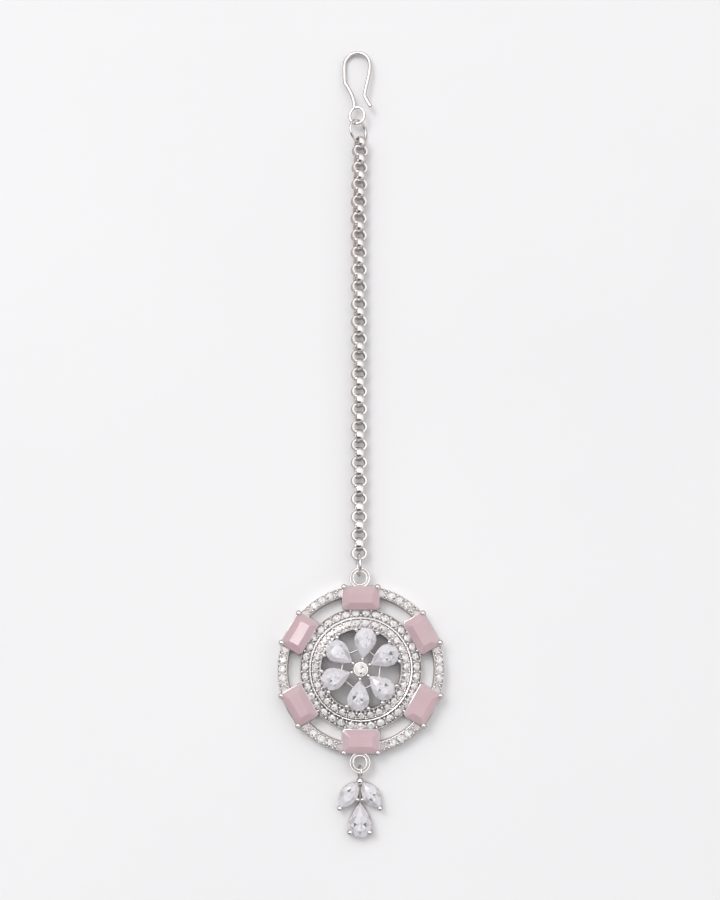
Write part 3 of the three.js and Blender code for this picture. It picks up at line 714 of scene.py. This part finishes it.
for outer, inner, low, high in (
    (DISC_RADIUS, DISC_BREAK, DISC_EDGE, BREAK_HEIGHT),
    (STEP_OUTER, OPENING_RADIUS + RIM_WIDTH, BREAK_HEIGHT + DISC_STEP, RIM_HEIGHT),
):
    disc_row = Row((outer + inner) / 2, (low + high) / 2, math.atan2(high - low, outer - inner))
    diameter = math.hypot(outer - inner, high - low) * DISC_PAVE_SHARE
    count = int(2 * math.pi * disc_row.radius / (diameter + DISC_PAVE_GAP))
    for i in range(count):
        disc_row.stone(360 / count * (i + 0.5), diameter * 1.07)
        disc_row.beads(360 / count * i, diameter * 0.42)
        disc_row.beads(360 / count * (i + 0.5), diameter * 0.68, small_bead, DISC_BEAD_FOOT)

cut_piece("pave_stones", joined(pave_shapes), pave_painted_glass, pave_back, "pendant_frame", PAVE_PAINTED_TONE_SHARES)
piece("pave_beads", joined(bead_shapes), bead_metal, "pendant_frame")
for radius, height in (
    (RING_RADIUS - 0.13, RING_HEIGHT - 0.03),
    (ring_inner + 0.12, RING_HEIGHT - 0.03),
    (DISC_RADIUS - GRAIN_INSET, DISC_EDGE),
    (OPENING_RADIUS + GRAIN_INSET, RIM_HEIGHT - 0.02),
):
    grains_on(radius, height)
piece("mill_grains", joined(grain_shapes), bead_metal, "pendant_frame")

# Walls of the openings, each a profile of radius and height, counter-clockwise

gap_walls = (
    (
        (OPENING_RADIUS - 0.14, 0.9),
        (OPENING_RADIUS + 0.3, 0.9),
        (OPENING_RADIUS + 0.3, 2.6),
        (OPENING_RADIUS, RIM_HEIGHT - 0.25),
    ),
    (
        (ring_inner - 0.1, 0.05),
        (ring_inner + 0.3, 0.05),
        (ring_inner + 0.3, 1.4),
        (ring_inner, RING_HEIGHT - 0.15),
    ),
    (
        (DISC_RADIUS - 0.3, 0.05),
        (DISC_RADIUS + 0.06, 0.05),
        (DISC_RADIUS, DISC_EDGE - 0.2),
        (DISC_RADIUS - 0.3, 1.3),
    ),
)
gap_shapes = [moved(revolve(walls, 180, closed=True), shift(*CENTRE)) for walls in gap_walls]
piece("inner_walls", joined(gap_shapes), wall_shade_metal, "pendant_frame", smooth=35)

# Pendant: settings of the pink stones

box_outline = octagon(BOX_LENGTH, BOX_WIDTH, BOX_CORNER)
box_centre = PENDANT_RADIUS - BOX_INSET - BOX_WIDTH / 2
box_wall_profile = [  # out from the stone's edge, and height over its girdle
    (-0.42, -BOX_GIRDLE),
    (0.08, -BOX_GIRDLE),
    (0.12, -BOX_GIRDLE + 0.05),
    (0.12, -0.5),
    (0.03, -0.16),
    (-0.03, -0.14),
    (-0.3, -0.55),
    (-0.42, -0.8),
]
box_setting = band(box_outline, box_wall_profile)
box_prong = prong(BOX_BALL, THICK_POST, BOX_GIRDLE + BOX_BALL * BALL_RISE)
prong_x = BOX_LENGTH / 2 - BOX_BALL * 0.26
prong_y = BOX_WIDTH / 2 - BOX_BALL * 0.15
walls = []
prongs = []
for k in range(BOX_STONES):
    degrees = -360 / BOX_STONES * k
    walls.append(placed(box_setting, box_centre, degrees, BOX_GIRDLE))
    for side in (-prong_x, prong_x):
        prongs.append(placed(moved(box_prong, shift(side, prong_y, 0)), box_centre, degrees, 0.0))
piece("box_settings", joined(walls), polished, "pendant_frame", smooth=30)
piece("box_prongs", joined(prongs), bead_metal, "pendant_frame", smooth=50)

half_girdle = BOX_WIDTH * GIRDLE / 2
crown_top = half_girdle + BOX_WIDTH * CROWN
back = -half_girdle - BOX_WIDTH * PAVILION
pink_levels = [  # inset, corner, height
    (1.15, 0.1, crown_top),
    (0.0, BOX_CORNER, half_girdle),
    (0.0, BOX_CORNER, -half_girdle),
    (0.5, 0.3, back * 0.45),
    (1.1, 0.2, back * 0.85),
    (1.6, 0.1, back),
]
pink_cut = step_cut([(octagon(BOX_LENGTH - 2 * a, BOX_WIDTH - 2 * a, c), z) for a, c, z in pink_levels])
for k in range(BOX_STONES):
    lean = turn("x", PINK_LEANS[k][0]) @ turn("y", PINK_LEANS[k][1])
    shape = placed(moved(pink_cut, lean), box_centre, -360 / BOX_STONES * k, BOX_GIRDLE)
    piece(f"pink_cut_{k + 1}", shape, pink_glass, f"pink_stone_{k + 1}", smooth=0)

# Pendant: flower

petal_outline = pear(PETAL_LENGTH, PETAL_WIDTH)
petal_centre = (PETAL_INNER + PETAL_OUTER) / 2
petal_cut = brilliant(petal_outline, PETAL_WIDTH, centre=(0.0, (PETAL_LENGTH - PETAL_WIDTH) / 2 - 0.35))


def thin_setting(outline, height, wall=0.0, thickness=SETTING_WALL):
    """A thin wall round a stone, its outer face this far out of the outline."""
    profile = [  # out, and height over the girdle
        (wall - thickness, -height),
        (wall, -height),
        (wall, -0.3),
        (wall * 0.6 - 0.02, -0.1),
        (-0.06, -0.1),
        (wall - thickness, -0.5),
    ]
    return band(outline, profile)


petal_wall = thin_setting(petal_outline, PETAL_SETTING)
petal_ball_x = PETAL_WIDTH / 2
petal_ball_y = math.sqrt((OPENING_RADIUS - PETAL_BALL_INSET) ** 2 - petal_ball_x**2) - petal_centre
outer_prong = prong(PETAL_BALL, FINE_POST, PETAL_SETTING + PETAL_BALL * BALL_RISE)
inner_prong = prong(INNER_BALL, FINE_POST, PETAL_SETTING + INNER_BALL * BALL_RISE)
petal_prongs = [moved(outer_prong, shift(side, petal_ball_y)) for side in (-petal_ball_x, petal_ball_x)]
petal_prongs.append(moved(inner_prong, shift(0, -PETAL_LENGTH / 2 - INNER_BALL * TIP_BALL_REACH)))
walls = []
prongs = []
base = FLOWER_GIRDLE - PETAL_SETTING
turns = [FLOWER_TURN + lean - 60 * k for k, lean in enumerate(PETAL_LEANS)]
for k, degrees in enumerate(turns):
    cut_piece(
        f"petal_cut_{k + 1}", placed(petal_cut, petal_centre, degrees, FLOWER_GIRDLE),
        clear_painted_glass, clear_back, f"petal_stone_{k + 1}", CLEAR_PAINTED_TONE_SHARES, PETAL_PAINTED_DARK_FACETS[k],
    )
    walls.append(placed(petal_wall, petal_centre, degrees, FLOWER_GIRDLE))
    prongs += [placed(shape, petal_centre, degrees, base) for shape in petal_prongs]
round_outline = circle(CENTRE_STONE / 2, 32)
cup = thin_setting(round_outline, PETAL_SETTING, 0.16, 0.36)
walls.append(moved(cup, shift(CENTRE[0], CENTRE[1], FLOWER_GIRDLE)))
piece("petal_settings", joined(walls), polished, "pendant_frame", smooth=35)
piece("petal_prongs", joined(prongs), bead_metal, "pendant_frame", smooth=50)
centre_cut = moved(brilliant(round_outline, CENTRE_STONE), shift(CENTRE[0], CENTRE[1], FLOWER_GIRDLE))
cut_piece("centre_cut", centre_cut, pave_painted_glass, pave_back, "centre_stone", PAVE_PAINTED_TONE_SHARES)

tie_reach = PETAL_INNER + PETAL_LENGTH * TIE_SHARE
ties = []
for degrees, following in zip(turns, [*turns[1:], turns[0] - 360]):
    chord = 2 * tie_reach * math.sin(math.radians(degrees - following) / 2)
    half = (chord - PETAL_WIDTH * 0.4) / 2
    rod = tube([(half * share, 0, 0) for share in (-1, -0.5, 0.5, 1)], circle(TIE_RADIUS, 12))
    ties.append(placed(rod, tie_reach, (degrees + following) / 2, base + TIE_RADIUS))
piece("petal_ties", joined(ties), wall_shade_metal, "pendant_frame", smooth=50)

# Pendant: bail and bottom loop

hole = LOOP_HOLE / 2
outside = LOOP_DIAMETER / 2
rim = (outside - hole) / 3
half = LOOP_THICKNESS / 2
loop_profile = [  # a double rim with a groove between
    (hole, -half + 0.1),
    (hole + 0.1, -half),
    (outside - 0.1, -half),
    (outside, -half + 0.1),
    (outside, half - 0.1),
    (outside - 0.08, half),
    (outside - rim + 0.04, half),
    (outside - rim - 0.04, half - 0.26),
    (hole + rim + 0.04, half - 0.26),
    (hole + rim - 0.04, half - 0.04),
    (hole + 0.08, half - 0.04),
    (hole, half - 0.12),
]
loop = revolve(loop_profile, LOOP_SEGMENTS, closed=True)
drop_x = CENTRE[0] + LOOP_SHIFT
loops = [moved(loop, shift(drop_x, CENTRE[1] + s * LOOP_CENTRE, LOOP_HEIGHT)) for s in (1, -1)]
grooves = {
    i + start * LOOP_SEGMENTS for start in (6, 6 + len(loop_profile)) for i in range(3 * LOOP_SEGMENTS)
}
piece(
    "bail_and_loop", joined(loops), polished, "pendant_frame",
    smooth=35, back=shaded_recess_metal, back_faces=grooves,
)

# Drop

drop_y = middle_of("drop_stone")[1]
drop_outline = pear(DROP_LENGTH, DROP_WIDTH)
drop_cut = brilliant(drop_outline, DROP_WIDTH, centre=(0.0, DROP_LENGTH / 2 - DROP_WIDTH / 2 - 0.4))
drop_place = shift(drop_x, drop_y, DROP_GIRDLE) @ turn("z", 180)
cut_piece(
    "drop_cut", moved(drop_cut, drop_place), clear_painted_glass, clear_back, "drop_stone", CLEAR_PAINTED_TONE_SHARES, DROP_PAINTED_DARK_FACETS
)
leaf_outline = marquise(LEAF_LENGTH, LEAF_WIDTH)
leaf_cut = brilliant(leaf_outline, LEAF_WIDTH)
leaf_wall = thin_setting(leaf_outline, DROP_SETTING)
leaf_prong = prong(LEAF_BALL, FINE_POST, DROP_SETTING + LEAF_BALL * BALL_RISE)
settings = []
drop_prongs = []
for name, side, painted_dark_facets in LEAF_PAINTED_DARK_FACETS:
    node = f"leaf_stone_{name}"
    x, y, _ = middle_of(node)
    place = shift(x, y, DROP_GIRDLE) @ turn("z", side * LEAF_SPREAD)
    cut_piece(f"leaf_cut_{name}", moved(leaf_cut, place), clear_painted_glass, clear_back, node, CLEAR_PAINTED_TONE_SHARES, painted_dark_facets)
    settings.append(moved(leaf_wall, place))
    tip = shift(0, -LEAF_LENGTH / 2 - LEAF_BALL * TIP_BALL_REACH, -DROP_SETTING)
    drop_prongs.append(moved(leaf_prong, place @ tip))
settings.append(moved(thin_setting(drop_outline, DROP_SETTING, 0.04), drop_place))
spread = math.radians(DROP_BALL_ANGLE)
radius = DROP_WIDTH / 2
low_prong = prong(DROP_BALL, THICK_POST, DROP_SETTING + DROP_BALL * BALL_RISE)
point_prong = prong(POINT_BALL, FINE_POST, DROP_SETTING + POINT_BALL * BALL_RISE)
low_y = DROP_LENGTH / 2 - radius + radius * math.cos(spread)
point_y = -DROP_LENGTH / 2 - POINT_BALL * 0.6
for side in (-1, 1):
    for shape, x, y in (
        (low_prong, radius * math.sin(spread), low_y),
        (point_prong, POINT_BALL * 0.57, point_y),
    ):
        drop_prongs.append(moved(shape, drop_place @ shift(side * x, y, -DROP_SETTING)))
loop_reach = math.sqrt((LOOP_HOLE / 2 * FLAT_SHARE) ** 2 - (DROP_BAIL_WIRE / 2) ** 2)
bail_inner = (DROP_BAIL / 2 - DROP_BAIL_WIRE) * FLAT_SHARE
bail_y = -LOOP_CENTRE - loop_reach - math.sqrt(bail_inner**2 - (LOOP_THICKNESS / 2) ** 2) + DROP_BAIL_PLAY
top_ball_y = CENTRE[1] + bail_y - DROP_BAIL / 2 + DROP_BAIL_WIRE / 2 - TOP_BALL * 0.36
bail_place = shift(drop_x, CENTRE[1] + bail_y, LOOP_HEIGHT) @ turn("y", DROP_BAIL_TILT)
drop_prongs.append(moved(ball(TOP_BALL, 28, 18), shift(drop_x, top_ball_y, DROP_GIRDLE)))
spine_end = high_of("drop_stone")[1] - 0.3
spine = tube(
    [(drop_x, y, SPINE_HEIGHT) for y in (top_ball_y, top_ball_y - 1, spine_end)], circle(SPINE_RADIUS, 12)
)
drop_bail = moved(wire_ring(DROP_BAIL, DROP_BAIL_WIRE), bail_place)
piece("drop_bail", drop_bail, polished, "drop_setting", smooth=50)
piece("drop_settings", joined(settings), polished, "drop_setting", smooth=35)
piece("drop_spine", spine, shaded_recess_metal, "drop_setting", smooth=35)
piece("drop_prongs", joined(drop_prongs), bead_metal, "drop_setting", smooth=50)

# Chain


def power(value, exponent):
    return math.copysign(abs(value) ** exponent, value)


def link_shape(seam, fullness=1.0):
    """A half-round band bent into an oval round Z, open by a thin seam. Fullness under 1 squares it."""
    a = LINK_ACROSS / 2 - LINK_WALL
    b = LINK_ALONG / 2 - LINK_WALL
    half = LINK_BAND / 2
    section = []
    for i in range(9):
        s = -1 + 2 * i / 8
        section.append((LINK_WALL * (0.7 + 0.3 * math.cos(s * math.pi / 2 * 0.92)), half * s))
    for i in range(5):
        s = 1 - 2 * i / 4
        section.append((0.05 * s * s, half * s * 0.97))
    points = []
    for k in range(LINK_STEPS + 1):
        angle = math.radians(seam + LINK_SEAM / 2 + (360 - LINK_SEAM) * k / LINK_STEPS)
        c, s = power(math.cos(angle), fullness), power(math.sin(angle), fullness)
        out = np.array([power(c, 2 / fullness - 1) / a, power(s, 2 / fullness - 1) / b])
        out /= np.linalg.norm(out)
        for reach, side in section:
            points.append((a * c + out[0] * reach, b * s + out[1] * reach, side))
    count = len(section)
    faces = []
    for k in range(LINK_STEPS):
        for i in range(count):
            n = (i + 1) % count
            faces.append([(k + 1) * count + i, (k + 1) * count + n, k * count + n, k * count + i])
    faces.append(list(range(count)))
    faces.append([LINK_STEPS * count + i for i in reversed(range(count))])
    return np.array(points), faces


first_link = low_of("chain")[1] + LINK_ALONG / 2
last_link = high_of("chain")[1] - LINK_ALONG / 2
link_kinds = ((link_shape(225), 0), (link_shape(-42, 0.78), -90))
links = []
for i in range(LINKS):
    share = i / (LINKS - 1)
    twist = CHAIN_TWIST[0] + (CHAIN_TWIST[1] - CHAIN_TWIST[0]) * share
    angle = math.radians(twist)
    lift = CHAIN_LIFT * max(0, 1 - i / CHAIN_LIFT_LINKS) ** 2
    z = LINK_ACROSS / 2 * math.cos(angle) + LINK_BAND / 2 * math.sin(angle) + lift
    x = CENTRE[0] + CHAIN_SHIFT + np.interp(share, *zip(*CHAIN_ROUTE))
    y = first_link + (last_link - first_link) * share
    link, quarter = link_kinds[i % 2]
    links.append(moved(link, shift(x, y, z) @ turn("y", twist + quarter)))
piece("chain_links", joined(links), chain_metal, "chain", smooth=45)

# Rings and hook

end_x, end_y, _ = middle_of("end_link")
end_place = shift(end_x, end_y, END_RING / 2) @ turn("y", END_RING_TILT)
piece("end_ring", moved(wire_ring(END_RING, RING_WIRE), end_place), polished, "end_link", smooth=50)
ring_x, ring_y, _ = middle_of("hook_ring")
hook_ring_radius = (HOOK_RING - RING_WIRE) / 2
hook_ring_z = hook_ring_radius * math.sin(math.radians(HOOK_RING_TILT)) + RING_WIRE / 2
hook_ring_place = shift(ring_x, ring_y, hook_ring_z) @ turn("y", HOOK_RING_TILT)
piece("top_ring", moved(wire_ring(HOOK_RING, RING_WIRE), hook_ring_place), polished, "hook_ring", smooth=50)


def smooth_path(points, per=8):
    """A Catmull-Rom curve through the points."""
    points = np.asarray(points, float)
    ends = [2 * points[0] - points[1], *points, 2 * points[-1] - points[-2]]
    out = []
    for p0, p1, p2, p3 in zip(ends, ends[1:], ends[2:], ends[3:]):
        for i in range(per):
            t = i / per
            a = 2 * p1
            b = (p2 - p0) * t
            c = (2 * p0 - 5 * p1 + 4 * p2 - p3) * t * t
            d = (3 * p1 - p0 - 3 * p2 + p3) * t**3
            out.append((a + b + c + d) / 2)
    out.append(points[-1])
    return np.array(out)


# Points of the hook's legs: across as a share of BOW_RADIUS, along as a share of HOOK_REACH

shank = ((-0.22, 0.13), (-0.27, 0.24), (-0.47, 0.355), (-0.76, 0.47), (-0.97, 0.555))
free_leg = (
    (0.98, 0.69), (0.83, 0.54), (0.7, 0.43), (0.6, 0.325), (0.64, 0.285), (0.88, 0.19), (1.05, 0.14)
)
route = [(a * BOW_RADIUS, u * HOOK_REACH, 0) for a, u in shank]
for i in range(7):
    a = math.pi - math.pi * i / 6
    route.append((BOW_RADIUS * math.cos(a), HOOK_REACH - BOW_RADIUS + BOW_RADIUS * math.sin(a), 0))
route += [(a * BOW_RADIUS, u * HOOK_REACH, 0) for a, u in free_leg]
hook_path = smooth_path(route)
hook_body = tube(hook_path, circle(HOOK_WIRE / 2 * WIRE_SHARE, 18))
tips = [moved(ball(HOOK_WIRE * WIRE_SHARE, 18, 10), shift(*p)) for p in (hook_path[0], hook_path[-1])]
eye_half = np.array((EYE_WIDTH - EYE_WIRE, EYE_LENGTH - EYE_WIRE)) / 2
eye = tube(np.column_stack([circle(1, 56) * eye_half, np.zeros(56)]), circle(EYE_WIRE / 2, 14), closed=True)
eye_y = ring_y + HOOK_RING / 2 - RING_WIRE - EYE_WIRE - EYE_PLAY + EYE_LENGTH / 2
bow_z = HOOK_WIRE / 2 + BOW_RADIUS * math.sin(math.radians(HOOK_ROLL))
pitch = -math.degrees(math.asin((hook_ring_z - bow_z) / HOOK_REACH))
hook_place = shift(ring_x + HOOK_SHIFT, eye_y, hook_ring_z) @ turn("x", pitch) @ turn("y", -HOOK_ROLL)
piece("hook_wire", moved(joined([hook_body, eye, *tips]), hook_place), polished, "hook", smooth=60)

# Floor, light and camera, in metres

FLOOR_REACH = 1.2
FLOOR_DROP = 0.00005
FLOOR_COLORS = ((0.86, 0.86, 0.875), (0.88, 0.88, 0.895))
FLOOR_REFLECTED = (0.50, 0.46, 0.45)
SKY = ((0.0, 0.18), (0.15, 0.40), (0.4, 0.85), (0.7, 1.12), (1.0, 1.36))  # height on the dome, brightness
SKY_WARMTH = 0.985
HORIZON_WARMTH = 0.97
SHADE_MIDDLE = (-0.10, -0.50)
SHADE_REACH = (0.72, 0.33)
SHADE_COLOR = (0.06, 0.052, 0.05)
WINDOW_MIDDLE = (-0.042, 0.026)
WINDOW_REACH = (0.024, 0.024)
WINDOW_COLOR = (9.0, 9.0, 9.0)
EDGE_SOFTNESS = 0.3
KEY_PLACE = (-0.42, 0.42, 0.95)
KEY_TARGET = (0, -0.01, 0)
KEY_SIZE = 0.5
KEY_POWER = 3.6
KEY_COLOR = (1.0, 0.99, 0.98)
CAMERA_TILT = 9.0
CAMERA_DISTANCE = 0.2414
CAMERA_SENSOR = 36
CAMERA_FOCUS = 1414 / 900  # focal length over the picture's height
AIM_SHIFT = (-0.149, 36.99)  # from the pendant's centre, in millimetres

floor_mesh = bpy.data.meshes.new("floor")
floor_corners = [(FLOOR_REACH * x, FLOOR_REACH * y, 0) for x, y in ((-1, -1), (1, -1), (1, 1), (-1, 1))]
floor_mesh.from_pydata(floor_corners, [], [[0, 1, 2, 3]])
floor = bpy.data.objects.new("floor", floor_mesh)
bpy.context.scene.collection.objects.link(floor)
floor.location.z = -FLOOR_DROP
floor_material, floor_nodes, floor_links, floor_shader = new_material("pale_floor")
floor_noise = noise_on(floor_nodes, floor_links, 12.0)
floor_color = ramp_between(floor_nodes, floor_links, floor_noise.outputs["Fac"], *FLOOR_COLORS)

# What the metal reflects of the floor is darker, as if grey card stood round the piece

floor_path = floor_nodes.new("ShaderNodeLightPath")
floor_mix = floor_nodes.new("ShaderNodeMix")
floor_mix.data_type = "RGBA"
floor_links.new(floor_path.outputs["Is Glossy Ray"], floor_mix.inputs["Factor"])
floor_links.new(floor_color, floor_mix.inputs[6])
floor_mix.inputs[7].default_value = (*FLOOR_REFLECTED, 1)
floor_links.new(floor_mix.outputs[2], floor_shader.inputs["Base Color"])
floor_shader.inputs["Roughness"].default_value = 0.7
floor_shader.inputs["Specular IOR Level"].default_value = 0.2
floor_mesh.materials.append(floor_material)

world = bpy.data.worlds.new("studio")
bpy.context.scene.world = world
world.use_nodes = True
world_nodes = world.node_tree.nodes
world_links = world.node_tree.links


def world_math(operation, first, second=None):
    """A maths node on two values, each an output or a number."""
    node = world_nodes.new("ShaderNodeMath")
    node.operation = operation
    for socket, value in zip(node.inputs, (first, second)):
        if isinstance(value, (int, float)):
            socket.default_value = value
        elif value is not None:
            world_links.new(value, socket)
    return node.outputs["Value"]


def inside_ellipse(x, y, middle, reach):
    """1 inside an ellipse of the sky's dome, 0 outside it, with a soft edge."""
    across = world_math("DIVIDE", world_math("SUBTRACT", x, middle[0]), reach[0])
    along = world_math("DIVIDE", world_math("SUBTRACT", y, middle[1]), reach[1])
    away = world_math("ADD", world_math("MULTIPLY", across, across), world_math("MULTIPLY", along, along))
    spread = world_nodes.new("ShaderNodeMapRange")
    spread.interpolation_type = "SMOOTHSTEP"
    world_links.new(away, spread.inputs["Value"])
    spread.inputs["From Min"].default_value = 1 - EDGE_SOFTNESS
    spread.inputs["From Max"].default_value = 1 + EDGE_SOFTNESS
    spread.inputs["To Min"].default_value = 1
    spread.inputs["To Max"].default_value = 0
    return spread.outputs["Result"]


def world_mix(factor, first, color):
    mix = world_nodes.new("ShaderNodeMix")
    mix.data_type = "RGBA"
    world_links.new(factor, mix.inputs["Factor"])
    world_links.new(first, mix.inputs[6])
    mix.inputs[7].default_value = (*color, 1)
    return mix.outputs[2]


coords = world_nodes.new("ShaderNodeTexCoord")
split = world_nodes.new("ShaderNodeSeparateXYZ")
sky = world_nodes.new("ShaderNodeValToRGB")
world_links.new(coords.outputs["Generated"], split.inputs["Vector"])
world_links.new(split.outputs["Z"], sky.inputs["Fac"])
horizon, zenith = sky.color_ramp.elements[0], sky.color_ramp.elements[1]
horizon.position, level = SKY[0]
horizon.color = (level, level * HORIZON_WARMTH, level * HORIZON_WARMTH, 1)
zenith.position, level = SKY[-1]
zenith.color = (level, level, level, 1)
for place, level in SKY[1:-1]:
    sky.color_ramp.elements.new(place).color = (level, level * SKY_WARMTH, level * SKY_WARMTH, 1)
shade = inside_ellipse(split.outputs["X"], split.outputs["Y"], SHADE_MIDDLE, SHADE_REACH)
window = inside_ellipse(split.outputs["X"], split.outputs["Y"], WINDOW_MIDDLE, WINDOW_REACH)
light = world_mix(shade, sky.outputs["Color"], SHADE_COLOR)
light = world_mix(window, light, WINDOW_COLOR)
backdrop = world_nodes["Background"]
world_links.new(light, backdrop.inputs["Color"])
backdrop.inputs["Strength"].default_value = 1.0

key_light = bpy.data.lights.new("key", "AREA")
key_light.shape = "SQUARE"
key_light.size = KEY_SIZE
key_light.energy = KEY_POWER
key_light.color = KEY_COLOR
key = bpy.data.objects.new("key", key_light)
bpy.context.scene.collection.objects.link(key)
key.location = KEY_PLACE
key.rotation_euler = (Vector(KEY_TARGET) - Vector(KEY_PLACE)).to_track_quat("-Z", "Y").to_euler()

camera_data = bpy.data.cameras.new("camera")
camera_data.sensor_fit = "VERTICAL"
camera_data.sensor_height = CAMERA_SENSOR
camera_data.lens = CAMERA_FOCUS * CAMERA_SENSOR
camera_data.clip_start = 0.01
camera_data.clip_end = 20
camera = bpy.data.objects.new("camera", camera_data)
bpy.context.scene.collection.objects.link(camera)
aim = (CENTRE + AIM_SHIFT) * MM
tilt = math.radians(CAMERA_TILT)
camera.location = (aim[0], aim[1] - math.sin(tilt) * CAMERA_DISTANCE, math.cos(tilt) * CAMERA_DISTANCE)
camera.rotation_euler = (tilt, 0, 0)
bpy.context.scene.camera = camera
bpy.context.scene.view_settings.view_transform = "Standard"
